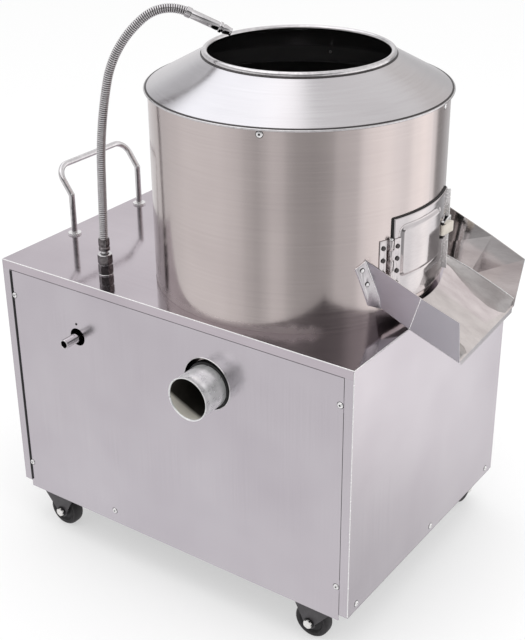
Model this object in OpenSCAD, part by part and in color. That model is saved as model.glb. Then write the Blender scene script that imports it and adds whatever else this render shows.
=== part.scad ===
// Electric potato peeler: an abrasive disc in an upright barrel, on a wheeled sheet-metal cabinet.
// Sizes are millimetres in the cabinet's frame: x from the handle end, y from the drain face,
// z from the lower edge of the side skins. placed() moves that frame to the middle of the stand.

/* [Cabinet] */
// Length of the cabinet along the drain face
cab_l = 670; // [655:1:720]
// Depth of the cabinet from the drain face to the switch face
cab_w = 493; // [485:1:540]
// Height of the cabinet's skins
cab_h = 425; // [410:1:470]
// Thickness of the cabinet's sheet
skin_t = 1.5; // [1:0.1:2]
// Width of the folded strip round the front and rear panels
strip_w = 15; // [12:0.5:20]
// Gap between a panel and the strip round it
panel_gap = 0.8; // [0.5:0.1:1.5]
// How far the front and rear panels hang below the side skins
panel_drop = 11; // [5:0.5:16]
// Height of the tabs that the panel screws bite into
tab_h = 24; // [18:1:32]
// Number of cooling slots in the rear panel
vent_count = 8; // [4:1:10]
// Length of a cooling slot
vent_l = 130; // [80:1:160]
// Height of a cooling slot
vent_h = 5; // [4:0.5:6]
// Pitch of the cooling slots
vent_pitch = 13; // [11:0.5:16]

/* [Frame] */
// Side of the frame's square tube
tube_w = 25; // [20:1:30]
// How far the base frame shows below the side skins
frame_drop = 3; // [2:0.5:6]
// Height of the deck's top face
deck_top = 150; // [140:1:165]
// Thickness of the deck that carries the motor and the spindle
deck_t = 5; // [4:0.5:8]
// Side of the corner gussets over the casters
gusset_w = 76; // [74:1:90]
// Thickness of the corner gussets
gusset_t = 4; // [3:0.5:6]

/* [Casters] */
// Height of the side skins above the floor
stand_h = 86; // [80:1:95]
// Radius of a caster wheel
wheel_r = 30; // [26:0.5:32]
// Width of a caster wheel
wheel_w = 22; // [18:0.5:24]
// Distance of a wheel's axle behind its swivel
trail = 24; // [20:0.5:28]
// Radius of a wheel's axle
axle_r = 4; // [3:0.5:5]
// Thickness of a fork's cheeks
cheek_t = 2.5; // [2:0.25:3]
// Gap between a wheel and each cheek
cheek_gap = 1.5; // [1:0.25:2.5]
// Thickness of a caster's top plate
caster_plate_t = 3; // [2:0.5:4]
// Swivel's distance from the handle end, at that end
caster_left = 42; // [40:1:50]
// Swivel's distance from the chute end, at that end
caster_right = 54; // [40:1:60]
// Swivel's distance from the drain face and from the switch face
caster_in = 30; // [29:1:40]

/* [Barrel] */
// Outer radius of the barrel
barrel_r = 225; // [215:1:228]
// Wall of the barrel
barrel_t = 2; // [1.5:0.25:3]
// Gap between the barrel and the drain face
barrel_front = 11; // [9:1:20]
// Gap between the barrel and the chute end
barrel_end = 23; // [15:1:40]
// Height of the barrel above the cabinet
barrel_rise = 302; // [280:1:330]
// Depth of the barrel's floor below the cabinet's top
barrel_sink = 145; // [135:1:150]
// Thickness of the barrel's floor
floor_t = 2.5; // [2:0.5:4]
// Thickness of the abrasive lining
liner_t = 5; // [3:0.5:6]
// Gap between the barrel and its lining
liner_gap = 0.3; // [0.1:0.1:0.5]
// Outer radius of the drain pipe
drain_r = 35; // [30:0.5:38]
// Wall of the drain pipe
drain_t = 2; // [1.5:0.25:3]
// Reach of the drain pipe in front of the drain face
drain_out = 48; // [35:1:70]
// How much thinner the drain pipe is behind the drain face, on the radius
drain_step = 0.5; // [0.3:0.1:1]
// Radius of the panel's hole round the drain pipe
drain_hole_r = 42; // [39:0.5:46]
// Offset of the drain pipe from the barrel's axis
drain_off = 6; // [0:1:15]

/* [Hopper] */
// Radius of the cone's lower lip
lip_r = 229.5; // [229:0.5:232]
// Height of the cone
cone_h = 51; // [40:1:70]
// Radius of the mouth at the middle of its rolled edge
mouth_r = 139; // [120:1:150]
// Radius of the rolled edge
bead_r = 4.5; // [3:0.25:6]
// Thickness of the cone's sheet
cone_t = 1.5; // [1:0.25:2]
// Height of the cone's skirt inside the barrel
skirt_h = 24; // [20:1:30]

/* [Door] */
// Half the width of the door
door_half = 79.5; // [76:0.5:84]
// Height of the door's lower edge above the cabinet
door_low = 27; // [25:1:32]
// Height of the door
door_h = 133; // [125:1:140]
// Thickness of the door's sheet
door_t = 2; // [1.5:0.25:2.5]
// Thickness of the door's gasket
gasket_t = 2; // [1.5:0.25:3]
// How far the gasket shows round the door
gasket_edge = 1.2; // [0.8:0.1:1.6]
// Overlap of the door on the barrel round the port
door_lap = 12; // [10:0.5:14]
// Height of the raised panel on the door's face
panel_rise = 3.5; // [2.5:0.25:5]
// Width of the flat border under the raised panel
border_low = 42; // [36:1:48]
// Width of the flat border over the raised panel
border_top = 15.5; // [13:0.5:18]
// Width of the flat border beside the raised panel, at the hinge
border_hinge = 11.5; // [11:0.5:14]
// Width of the flat border beside the raised panel, at the latch
border_latch = 45.5; // [44:0.5:50]
// Length of the hinge
hinge_h = 80; // [70:1:90]
// Radius of the hinge's knuckles
knuckle_r = 3.6; // [3.2:0.1:4]
// Radius of the hinge's pin
hinge_pin_r = 1.75; // [1.5:0.05:2]
// Width of a hinge leaf
leaf_w = 12; // [10:0.5:12.5]
// Thickness of a hinge leaf
leaf_t = 1.5; // [1:0.25:2]
// Height of the latch's grip above the door's lower edge
latch_up = 68; // [60:1:76]
// Height of the latch's grip
grip_h = 21; // [18:0.5:26]
// Length of the latch's grip past its pin
grip_l = 25; // [22:0.5:28]
// Thickness of the latch's grip at its free end
grip_t = 10.6; // [8:0.2:12]
// Thickness of the latch's strap
strap_t = 2.4; // [1.6:0.1:3]
// Height of the latch's strap
strap_h = 12; // [10:0.5:16]

/* [Chute] */
// Turn of the chute about the barrel
chute_turn = 3.5; // [1:0.5:5]
// Half the width of the chute's floor at the barrel
chute_half = 105; // [102:0.5:108]
// Half the width of the chute's floor at its bend
chute_half_bend = 109; // [106:0.5:112]
// Half the width of the chute's floor at its lip
chute_half_lip = 106; // [103:0.5:109]
// Outward flare of the chute's walls at the barrel, from floor to top
chute_flare = 26; // [20:0.5:28]
// Outward flare of the chute's walls at the lip, from floor to top
chute_flare_lip = 20; // [16:0.5:24]
// Height of the chute's walls
chute_wall = 74; // [60:1:80]
// Gap between the chute's floor and the edge of the cabinet's top
chute_clear = 0.6; // [0.4:0.1:6]
// Gap between the chute's floor and the barrel
chute_back_gap = 5; // [2:0.5:8]
// Slope of the chute's floor
chute_slope = 24; // [18:0.5:28]
// Reach of the chute past the barrel
chute_reach = 100; // [80:1:120]
// Thickness of the chute's sheet
chute_t = 1.5; // [1:0.25:2]

/* [Drive] */
// Distance of the motor's axis from the handle end
motor_x = 95; // [90:1:100]
// Radius of the motor's body
motor_r = 64; // [56:1:66]
// Length of the motor's body
motor_l = 190; // [160:1:200]
// Radius of the motor's flange
motor_flange_r = 82; // [78:1:84]
// Radius of the motor's shaft
motor_shaft_r = 9.5; // [8:0.5:12]
// Radius of the spindle
spindle_r = 15; // [13:0.5:18]
// Pitch radius of the spindle's pulley
big_pulley_r = 120; // [110:1:125]
// Pitch radius of the motor's pulley
small_pulley_r = 32; // [28:1:36]
// Width of the V-belt at its back
belt_w = 12.5; // [12:0.1:13]
// Height of the V-belt's section
belt_h = 8; // [7:0.25:9]
// Gap between the belt and each pulley's groove
belt_gap = 0.4; // [0.3:0.05:0.6]
// Radius of the peeling disc
disc_r = 213; // [200:1:214]
// Thickness of the peeling disc
disc_t = 12; // [10:0.5:16]
// Height of the disc's top face above the cabinet
disc_rise = 15; // [10:1:20]
// Height of the disc's waves
wave_h = 10; // [6:0.5:11]
// Number of the disc's waves
wave_count = 4; // [3:1:6]

/* [Water] */
// Hose's distance from the handle end
hose_x = 180; // [170:1:185]
// Hose's distance from the drain face
hose_y = 51.4; // [45:0.2:56]
// Outer radius of the ribbed hose
hose_r = 7; // [6:0.25:8]
// Outer radius of the rigid spout
spout_r = 6.5; // [5.5:0.25:7]
// Width across the flats of the hose's nuts
nut_af = 22; // [20:0.5:27]
// Outer radius of the water inlet
inlet_r = 8; // [6:0.5:10]
// Reach of the water inlet in front of the drain face
inlet_out = 32; // [25:1:45]
// How much thinner the water inlet is behind the drain face, on the radius
inlet_step = 0.5; // [0.3:0.1:1]
// Inlet's distance from the handle end
inlet_x = 156.5; // [150:0.5:165]
// Depth of the inlet below the cabinet's top
inlet_drop = 98; // [90:1:110]
// Radius of the panel's hole round the inlet
inlet_hole_r = 15; // [12:0.5:17]

/* [Handle and switch] */
// Radius of the push handle's rod
handle_r = 5; // [4:0.5:6]
// Handle's distance from the handle end of the cabinet
handle_x = 26; // [20:1:30]
// First leg's distance from the drain face
handle_y = 145; // [120:1:160]
// Distance between the handle's legs
handle_span = 169; // [150:1:190]
// Height of the handle's knee above the cabinet
handle_knee = 70; // [60:1:80]
// Rise of the handle above its knee
handle_top = 43; // [35:1:50]
// Lean of the handle beyond its feet
handle_lean = 30; // [24:1:36]
// Radius of the handle's corners
handle_bend = 24; // [18:1:26]
// Width of the switch box
switch_w = 64; // [56:1:80]
// Height of the switch box
switch_h = 96; // [88:1:120]
// Depth of the switch box
switch_d = 42; // [36:1:55]
// Radius of the push buttons
button_r = 11; // [9:0.5:12]
// Travel of the push buttons
button_travel = 4; // [3:0.5:5]

/* [Hidden] */
// Facets of the preview's circles
$fn = 180;

// Clearances: a running fit, a drilled hole round a screw, a seat, and a gap between moving faces
run_gap = 0.05;
drill_gap = 0.1;
seat_gap = 0.1;
face_gap = 0.3;
// Reach of a cutting tool past the face that it cuts
past = 1;

// Places in the cabinet's frame
barrel_x = cab_l - barrel_end - barrel_r;
barrel_y = barrel_front + barrel_r;
floor_z = cab_h - barrel_sink;
lip_z = cab_h + barrel_rise;
mouth_z = lip_z + cone_h;
handle_min_x = handle_x - handle_lean - handle_r;
chute_end = barrel_r + chute_reach;
chute_max_x = barrel_x + chute_end;
switch_max_y = cab_w + switch_d + button_r / 2;
mid_x = (handle_min_x + chute_max_x) / 2;
mid_y = (switch_max_y - drain_out) / 2;

module placed() {
    translate([-mid_x, -mid_y, stand_h]) children();
}

module at_barrel() {
    placed() translate([barrel_x, barrel_y, 0]) children();
}

// The chute's frame: u away from the barrel's axis along the middle of the chute
module at_chute() {
    at_barrel() rotate([0, 0, chute_turn]) children();
}

module tube(r_out, r_in, h) {
    difference() {
        cylinder(r = r_out, h = h);
        translate([0, 0, -past]) cylinder(r = r_in, h = h + 2 * past);
    }
}

// A box from one corner to the other
module block(from, to) {
    translate(from) cube(to - from);
}

// A prism along +x of an outline in the y-z plane
module along_x(h) {
    rotate([90, 0, 90]) linear_extrude(h) children();
}

// A rectangle with corners of radius r, from one corner to the other
module round_rect(from, to, r) {
    translate([from[0] + r, from[1]]) square([to[0] - from[0] - 2 * r, to[1] - from[1]]);
    translate([from[0], from[1] + r]) square([to[0] - from[0], to[1] - from[1] - 2 * r]);
    for (y = [from[0] + r, to[0] - r], z = [from[1] + r, to[1] - r]) translate([y, z]) circle(r);
}

// A sheet that follows the barrel, with a rounded rectangle's outline seen along x
module barrel_sheet(r_in, r_out, from, to, r) {
    intersection() {
        translate([0, 0, from[1] - past]) tube(r_out, r_in, to[1] - from[1] + 2 * past);
        along_x(r_out + past) round_rect(from, to, r);
    }
}

// A strip that follows the barrel between two angles
module barrel_strip(r_in, t, from, to, low, high) {
    translate([0, 0, low]) rotate([0, 0, from])
        rotate_extrude(angle = to - from) translate([r_in, 0]) square([t, high - low]);
}

module hex(af, h) {
    cylinder(r = af / 2 / cos(30), h = h, $fn = 6);
}

steel = [0.77, 0.75, 0.76];
bright_steel = [0.86, 0.85, 0.85];
dark_steel = [0.36, 0.37, 0.39];
black = [0.07, 0.07, 0.08];
rubber = [0.05, 0.05, 0.05];
ivory = [0.82, 0.78, 0.70];

// ---------------------------------------------------------------- screws of the skins

screw_r = 2;
screw_head_r = 4.5;
screw_head_h = 2;
screw_l = 7;
screw_in = strip_w + 6;
screw_drop = 60;
left_screw_z = 40;
right_screw_z = 51;
base_screw_x = 210;
side_screw_z = 12;
side_screw_in = 25;
side_screw_shift = 15;
front_screws = [[screw_in, cab_h - screw_drop], [cab_l - screw_in, cab_h - screw_drop],
    [cab_l - screw_in, right_screw_z], [screw_in, left_screw_z]];
side_screw_y = [side_screw_in, cab_w / 2 + side_screw_shift, cab_w - side_screw_in];

module pan_screw(length) {
    dome_r = screw_head_r * 1.6;
    intersection() {
        translate([0, 0, -screw_head_h]) cylinder(r = screw_head_r, h = screw_head_h);
        translate([0, 0, dome_r - screw_head_h]) sphere(dome_r);
    }
    cylinder(r = screw_r, h = length);
}

// Each panel screw's place, with +z pointing into the sheet
module at_front_screws() {
    for (p = front_screws) translate([p[0], 0, p[1]]) rotate([-90, 0, 0]) children();
}

module at_base_screw() {
    translate([base_screw_x, 0, side_screw_z]) rotate([-90, 0, 0]) children();
}

module at_rear_screws() {
    for (p = front_screws) translate([p[0], cab_w, p[1]]) rotate([90, 0, 0]) children();
}

module at_side_screws() {
    for (y = side_screw_y) {
        translate([0, y, side_screw_z]) rotate([0, 90, 0]) children();
        translate([cab_l, y, side_screw_z]) rotate([0, -90, 0]) children();
    }
}

module all_screw_places() {
    at_front_screws() children();
    at_base_screw() children();
    at_rear_screws() children();
    at_side_screws() children();
}

module screw_holes() {
    all_screw_places() translate([0, 0, -past])
        cylinder(r = screw_r + drill_gap, h = screw_l + 2 * past);
}

module panel_screws() {
    color(bright_steel) placed() all_screw_places() pan_screw(screw_l);
}

// ---------------------------------------------------------------- frame and skins

frame_x0 = skin_t;
frame_x1 = cab_l - skin_t;
frame_y0 = 2 * skin_t;
frame_y1 = cab_w - 2 * skin_t;
rail_top = tube_w - frame_drop;
post_top = cab_h - skin_t;
deck_low = deck_top - deck_t;
caster_xs = [caster_left, cab_l - caster_right, caster_left, cab_l - caster_right];
caster_ys = [caster_in, caster_in, cab_w - caster_in, cab_w - caster_in];
caster_bolt_x = 20;
caster_bolt_y = 16;
bolt_r = 3;

module at_caster_bolts() {
    for (i = [0 : 3], sx = [-1, 1], sy = [-1, 1])
        translate([caster_xs[i] + sx * caster_bolt_x, caster_ys[i] + sy * caster_bolt_y, -frame_drop])
            children();
}

module chassis_frame() {
    color(dark_steel) placed() difference() {
        union() {
            for (y = [frame_y0, frame_y1 - tube_w], z = [-frame_drop, deck_low - tube_w])
                block([frame_x0, y, z], [frame_x1, y + tube_w, z + tube_w]);
            for (x = [frame_x0, frame_x1 - tube_w])
                block([x, frame_y0, -frame_drop], [x + tube_w, frame_y1, rail_top]);
            for (x = [frame_x0, frame_x1 - tube_w], y = [frame_y0, frame_y1 - tube_w])
                block([x, y, 0], [x + tube_w, y + tube_w, post_top]);
            for (x = [frame_x0, frame_x1 - gusset_w], y = [frame_y0, frame_y1 - gusset_w])
                block([x, y, -frame_drop], [x + gusset_w, y + gusset_w, gusset_t - frame_drop]);
        }
        screw_holes();
        at_caster_bolts() translate([0, 0, -past])
            cylinder(r = bolt_r + drill_gap, h = tube_w + 2 * past);
    }
}

deck_bolt_r = 4;
housing_flange_r = 66;
housing_pcd = 108;
motor_pcd = 148;
slot_l = 24;
deck_bolt_af = 13;
deck_bolt_head_h = 5;
deck_nut_h = 6;
deck_bolt_spare = 8;
spindle_clear = 6;

module at_housing_bolts() {
    for (a = [45 : 90 : 315])
        translate([barrel_x, barrel_y, 0]) rotate([0, 0, a]) translate([housing_pcd / 2, 0, 0])
            children();
}

module at_motor_bolts() {
    for (a = [45 : 90 : 315])
        translate([motor_x, barrel_y, 0]) rotate([0, 0, a]) translate([motor_pcd / 2, 0, 0])
            rotate([0, 0, -a]) children();
}

module spindle_deck() {
    hole_h = deck_t + 2 * past;
    color(dark_steel) placed() difference() {
        union() {
            block([frame_x0 + tube_w, frame_y0, deck_low], [frame_x1 - tube_w, frame_y1, deck_top]);
            block([frame_x0, frame_y0 + tube_w, deck_low], [frame_x1, frame_y1 - tube_w, deck_top]);
        }
        translate([barrel_x, barrel_y, deck_low - past])
            cylinder(r = spindle_r + spindle_clear, h = hole_h);
        translate([motor_x, barrel_y, deck_low - past])
            cylinder(r = small_pulley_r + 1.5 * spindle_clear, h = hole_h);
        at_housing_bolts() translate([0, 0, deck_low - past])
            cylinder(r = deck_bolt_r + drill_gap, h = hole_h);
        at_motor_bolts() translate([0, 0, deck_low - past]) {
            for (s = [-1, 1]) translate([s * slot_l / 2, 0, 0])
                cylinder(r = deck_bolt_r + drill_gap, h = hole_h);
            translate([-slot_l / 2, -deck_bolt_r - drill_gap, 0])
                cube([slot_l, 2 * (deck_bolt_r + drill_gap), hole_h]);
        }
    }
}

module deck_bolt(grip) {
    translate([0, 0, -deck_bolt_head_h]) hex(deck_bolt_af, deck_bolt_head_h);
    cylinder(r = deck_bolt_r, h = grip + deck_bolt_spare);
    translate([0, 0, grip]) difference() {
        hex(deck_bolt_af, deck_nut_h);
        translate([0, 0, -past]) cylinder(r = deck_bolt_r + run_gap, h = deck_nut_h + 2 * past);
    }
}

module deck_bolts() {
    color(steel) placed() {
        at_housing_bolts() translate([0, 0, deck_low]) deck_bolt(deck_t + housing_flange_t);
        at_motor_bolts() translate([0, 0, deck_low]) deck_bolt(deck_t + motor_flange_t);
    }
}

hose_stem_r = 8;

module top_plate() {
    color(steel) placed() difference() {
        union() {
            block([0, 0, cab_h - skin_t], [cab_l, cab_w, cab_h]);
            block([skin_t, 0, cab_h - strip_w], [cab_l - skin_t, skin_t, cab_h]);
            block([skin_t, cab_w - skin_t, cab_h - strip_w], [cab_l - skin_t, cab_w, cab_h]);
        }
        translate([barrel_x, barrel_y, 0]) cylinder(r = barrel_r + seat_gap, h = cab_h + past);
        for (y = handle_ys) translate([handle_x, y, 0])
            cylinder(r = handle_r + drill_gap, h = cab_h + past);
        translate([hose_x, hose_y, 0]) cylinder(r = hose_stem_r + drill_gap, h = cab_h + past);
    }
}

// A side skin at x = 0: the sheet, its folded strips and the tabs behind the panels' corners
module side_skin(tabs) {
    strip_top = cab_h - strip_w;
    block([0, 0, 0], [skin_t, cab_w, cab_h - skin_t]);
    for (y = [0, cab_w - skin_t])
        block([0, y, 0], [strip_w, y + skin_t, strip_top]);
    for (z = tabs, y = [skin_t, cab_w - 2 * skin_t])
        block([skin_t, y, z - tab_h / 2], [strip_w + tab_h / 2, y + skin_t, z + tab_h / 2]);
}

module left_side_panel() {
    color(steel) placed() difference() {
        side_skin([front_screws[0][1], front_screws[3][1]]);
        screw_holes();
    }
}

module right_side_panel() {
    color(steel) placed() difference() {
        translate([cab_l, 0, 0]) mirror([1, 0, 0])
            side_skin([front_screws[1][1], front_screws[2][1]]);
        screw_holes();
    }
}

panel_x0 = strip_w + panel_gap;
panel_x1 = cab_l - strip_w - panel_gap;
panel_z1 = cab_h - strip_w - panel_gap;
drain_x = barrel_x - drain_off;
drain_up = 2.5;
drain_z = floor_z + floor_t + drain_r + drain_up;
drain_hole_up = 4;
inlet_z = cab_h - inlet_drop;

module front_panel() {
    color(steel) placed() difference() {
        block([panel_x0, 0, -panel_drop], [panel_x1, skin_t, panel_z1]);
        screw_holes();
        translate([drain_x, 0, drain_z + drain_hole_up]) rotate([90, 0, 0])
            cylinder(r = drain_hole_r, h = 2 * (skin_t + past), center = true);
        translate([inlet_x, 0, inlet_z]) rotate([90, 0, 0])
            cylinder(r = inlet_hole_r, h = 2 * (skin_t + past), center = true);
    }
}

switch_x = 150;
switch_drop = 150;
switch_z = cab_h - switch_drop;
vent_in = 230;
vent_x = cab_l - vent_in;
vent_z = cab_h * 0.4;
gland_left = 70;
gland_up = 35;
gland_x = switch_x - gland_left;
gland_z = deck_top + gland_up;
gland_r = 8;
wire_hole = 15;

module rear_panel() {
    color(steel) placed() difference() {
        block([panel_x0, cab_w - skin_t, -panel_drop], [panel_x1, cab_w, panel_z1]);
        screw_holes();
        for (i = [0 : vent_count - 1])
            block([vent_x - vent_l / 2, cab_w - skin_t - past, vent_z + i * vent_pitch],
                [vent_x + vent_l / 2, cab_w + past, vent_z + i * vent_pitch + vent_h]);
        translate([gland_x, cab_w, gland_z]) rotate([90, 0, 0])
            cylinder(r = gland_r + drill_gap, h = 2 * (skin_t + past), center = true);
        block([switch_x - wire_hole, cab_w - skin_t - past, switch_z - wire_hole],
            [switch_x + wire_hole, cab_w + past, switch_z + wire_hole]);
    }
}

// ---------------------------------------------------------------- barrel and hopper

port_low = cab_h + door_low + door_lap;
port_high = cab_h + door_low + door_h - door_lap;
port_half = door_half - door_lap;
corner_r = 8;
liner_r = barrel_r - barrel_t - liner_gap;
liner_low = cab_h + disc_rise - disc_t;
liner_port_gap = 2;
hopper_screw_z = lip_z - 7;
hopper_screw_at = [-70, 11, 110, 200];

module at_hopper_screws() {
    for (a = hopper_screw_at) rotate([0, 0, a]) translate([barrel_r, 0, hopper_screw_z])
        rotate([0, -90, 0]) children();
}

module port_cut(grow) {
    translate([barrel_r / 2, 0, 0]) along_x(barrel_r)
        round_rect([-port_half - grow, port_low - grow], [port_half + grow, port_high + grow],
            corner_r + grow);
}

module drain_cut(r) {
    translate([-drain_off, 0, drain_z]) rotate([90, 0, 0]) cylinder(r = r, h = barrel_r + past);
}

module barrel_shell() {
    color(steel) at_barrel() difference() {
        translate([0, 0, floor_z]) tube(barrel_r, barrel_r - barrel_t, lip_z - floor_z);
        port_cut(0);
        drain_cut(drain_r - drain_step + seat_gap);
        at_hopper_screws() translate([0, 0, -past])
            cylinder(r = screw_r + drill_gap, h = screw_l + 2 * past);
    }
}

neck_r = spindle_r + spindle_clear;
neck_t = 2.5;
neck_h = 40;

module barrel_floor() {
    color(steel) at_barrel() translate([0, 0, floor_z]) {
        tube(barrel_r - barrel_t - seat_gap, neck_r, floor_t);
        tube(neck_r + neck_t, neck_r, neck_h);
    }
}

module abrasive_liner() {
    color(black) at_barrel() difference() {
        translate([0, 0, liner_low]) tube(liner_r, liner_r - liner_t, lip_z - skirt_h - liner_low);
        port_cut(liner_port_gap);
    }
}

module drain_pipe() {
    root_l = barrel_front + drain_r;
    color(bright_steel) at_barrel() difference() {
        translate([-drain_off, -barrel_r + drain_r, drain_z]) rotate([90, 0, 0]) {
            tube(drain_r - drain_step, drain_r - drain_t, root_l);
            translate([0, 0, root_l]) tube(drain_r, drain_r - drain_t, drain_out);
        }
        translate([0, 0, floor_z]) cylinder(r = barrel_r - barrel_t, h = barrel_sink);
    }
}

module hopper_cone() {
    skirt_r = barrel_r - barrel_t - seat_gap;
    top_r = mouth_r - bead_r + cone_t / 2;
    slope_t = cone_t * 1.15;
    color(bright_steel) at_barrel() difference() {
        rotate_extrude() polygon([
            [skirt_r - cone_t, lip_z - skirt_h], [skirt_r, lip_z - skirt_h], [skirt_r, lip_z],
            [lip_r, lip_z], [lip_r, lip_z + cone_t], [mouth_r, mouth_z],
            [mouth_r - cone_t, mouth_z], [mouth_r - cone_t, mouth_z - slope_t],
            [skirt_r - cone_t, lip_z + cone_t]]);
        at_hopper_screws() translate([0, 0, -past])
            cylinder(r = screw_r + drill_gap, h = screw_l + 2 * past);
        translate([0, 0, mouth_z]) rotate_extrude() translate([mouth_r, 0]) circle(bead_r);
    }
}

module mouth_rim() {
    color(bright_steel) at_barrel() translate([0, 0, mouth_z])
        rotate_extrude() translate([mouth_r, 0]) circle(bead_r);
}

module hopper_screws() {
    color(bright_steel) at_barrel() at_hopper_screws() pan_screw(screw_l);
}

// ---------------------------------------------------------------- door, hinge and latch

gasket_r = barrel_r + seat_gap;
door_r = gasket_r + gasket_t;
door_face = door_r + door_t;
door_z0 = cab_h + door_low;
door_z1 = door_z0 + door_h;
door_corner = 3;
raised_corner = 9;

module door_plate() {
    raised_from = [-door_half + border_hinge, door_z0 + border_low];
    raised_to = [door_half - border_latch, door_z1 - border_top];
    inset = [door_t, door_t];
    color(bright_steel) at_barrel() difference() {
        union() {
            barrel_sheet(door_r, door_face, [-door_half, door_z0], [door_half, door_z1], door_corner);
            barrel_sheet(door_r, door_face + panel_rise, raised_from, raised_to, raised_corner);
        }
        barrel_sheet(door_r - past, door_face + panel_rise - door_t, raised_from + inset,
            raised_to - inset, raised_corner - door_t);
    }
}

module door_gasket() {
    edge = [gasket_edge, gasket_edge];
    color(rubber) at_barrel() difference() {
        barrel_sheet(gasket_r, door_r, [-door_half, door_z0] - edge, [door_half, door_z1] + edge,
            door_corner);
        port_cut(1);
    }
}

// The hinge's axis stands beside the door's edge, at the height of its face
hinge_out = 0.4;
hinge_aside = 5.3;
hinge_down = 3;
hinge_r = door_face + hinge_out;
hinge_at = -asin((door_half + hinge_aside) / hinge_r);
hinge_z = (door_z0 + door_z1 - hinge_h) / 2 - hinge_down;
knuckles = 5;
knuckle_h = hinge_h / knuckles;
leaf_edge = 5;
leaf_deg = leaf_w / barrel_r * 180 / PI;
edge_deg = leaf_edge / barrel_r * 180 / PI;
rivet_pitch = 19;
rivet_r = 2;
rivet_head_r = 3.4;
rivet_head_h = 1.2;
rivet_zs = [for (i = [-1.5 : 1 : 1.5]) hinge_z + hinge_h / 2 + i * rivet_pitch];

// The hinge's frame: x outwards, y round the barrel
module at_hinge() {
    rotate([0, 0, hinge_at]) translate([hinge_r, 0, hinge_z]) children();
}

module hinge_knuckles(first, side, tongue_low, tongue_high) {
    for (i = [first : 2 : knuckles - 1]) difference() {
        translate([0, 0, i * knuckle_h + face_gap / 2]) {
            cylinder(r = knuckle_r, h = knuckle_h - face_gap);
            translate([tongue_low, side > 0 ? 0 : -leaf_edge - 1, 0])
                cube([tongue_high - tongue_low, leaf_edge + 1, knuckle_h - face_gap]);
        }
        translate([0, 0, -past]) cylinder(r = hinge_pin_r + run_gap, h = hinge_h + 2 * past);
    }
}

module leaf_holes(angle, r_low) {
    for (z = rivet_zs) rotate([0, 0, angle]) translate([r_low, 0, z]) rotate([0, 90, 0])
        cylinder(r = rivet_r + run_gap, h = leaf_t + 2 * past);
}

fixed_rivet_at = hinge_at - edge_deg - leaf_deg / 2;
door_rivet_at = hinge_at + edge_deg + leaf_deg / 2;
fixed_leaf_r = barrel_r + seat_gap;
door_leaf_r = door_face + run_gap;

module hinge_leaf_fixed() {
    color(bright_steel) at_barrel() difference() {
        union() {
            barrel_strip(fixed_leaf_r, leaf_t, hinge_at - edge_deg - leaf_deg, hinge_at - edge_deg,
                hinge_z, hinge_z + hinge_h);
            at_hinge() hinge_knuckles(0, -1, fixed_leaf_r - hinge_r, fixed_leaf_r - hinge_r + leaf_t);
        }
        leaf_holes(fixed_rivet_at, fixed_leaf_r - past);
    }
}

module hinge_leaf_door() {
    color(bright_steel) at_barrel() difference() {
        union() {
            barrel_strip(door_leaf_r, leaf_t, hinge_at + edge_deg, hinge_at + edge_deg + leaf_deg,
                hinge_z, hinge_z + hinge_h);
            at_hinge() hinge_knuckles(1, 1, door_leaf_r - hinge_r, door_leaf_r - hinge_r + leaf_t);
        }
        leaf_holes(door_rivet_at, door_leaf_r - past);
    }
}

module hinge_pin() {
    cap_h = 1.8;
    cap_gap = 0.4;
    color(steel) at_barrel() at_hinge() {
        translate([0, 0, -cap_gap - cap_h / 2])
            cylinder(r = hinge_pin_r, h = hinge_h + 2 * cap_gap + cap_h);
        for (z = [-cap_gap - cap_h, hinge_h + cap_gap]) translate([0, 0, z])
            cylinder(r = knuckle_r - 0.8, h = cap_h);
    }
}

// Rivets lie in the leaf's holes and end at the face under it
module leaf_rivets(angle, r_low) {
    for (z = rivet_zs) rotate([0, 0, angle]) translate([r_low + run_gap, 0, z]) rotate([0, 90, 0]) {
        cylinder(r = rivet_r, h = leaf_t);
        translate([0, 0, leaf_t]) cylinder(r = rivet_head_r, h = rivet_head_h);
    }
}

module fixed_rivets() {
    color(steel) {
        at_barrel() leaf_rivets(fixed_rivet_at, fixed_leaf_r);
        at_chute() at_flange_rivets() {
            cylinder(r = rivet_r, h = chute_t);
            translate([0, 0, chute_t]) cylinder(r = rivet_head_r, h = rivet_head_h);
        }
    }
}

module door_rivets() {
    color(steel) at_barrel() leaf_rivets(door_rivet_at, door_leaf_r);
}

// The latch's frame stands on the door's free border: x outwards, y round the barrel
latch_in = 30;
latch_at = asin((door_half - latch_in) / door_face);
latch_z = door_z0 + latch_up;
latch_pin_r = 1.25;
latch_boss_r = 2.6;
latch_pin_x = latch_boss_r + face_gap + 0.1;
latch_pin_y = -8;
ear_t = 2;
strap_x = 1;
keeper_w = 7;
edge_y = (asin(door_half / door_face) - latch_at) * PI / 180 * door_face;
strap_end = edge_y + gasket_edge + keeper_w + 3;

module at_latch() {
    at_barrel() rotate([0, 0, latch_at]) translate([door_face, 0, latch_z]) children();
}

// Cuts away what would lie under the barrel's or the door's face, for pieces in the latch's frame
module under_face(r) {
    translate([-door_face, 0, -grip_h]) cylinder(r = r + run_gap, h = 3 * grip_h, $fn = 720);
}

module latch_bracket() {
    reach = ear_t + face_gap;
    ear_w = 10;
    color(steel) at_latch() difference() {
        union() {
            for (z = [-reach, grip_h + face_gap]) translate([0, 0, z]) {
                translate([latch_pin_x, latch_pin_y, 0]) cylinder(r = latch_boss_r, h = ear_t);
                translate([-1, latch_pin_y - ear_w / 2, 0]) cube([latch_pin_x, ear_w, ear_t]);
            }
            translate([latch_pin_x, latch_pin_y, -reach]) cylinder(r = latch_pin_r, h = grip_h + 2 * reach);
        }
        under_face(door_face);
    }
}

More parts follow.
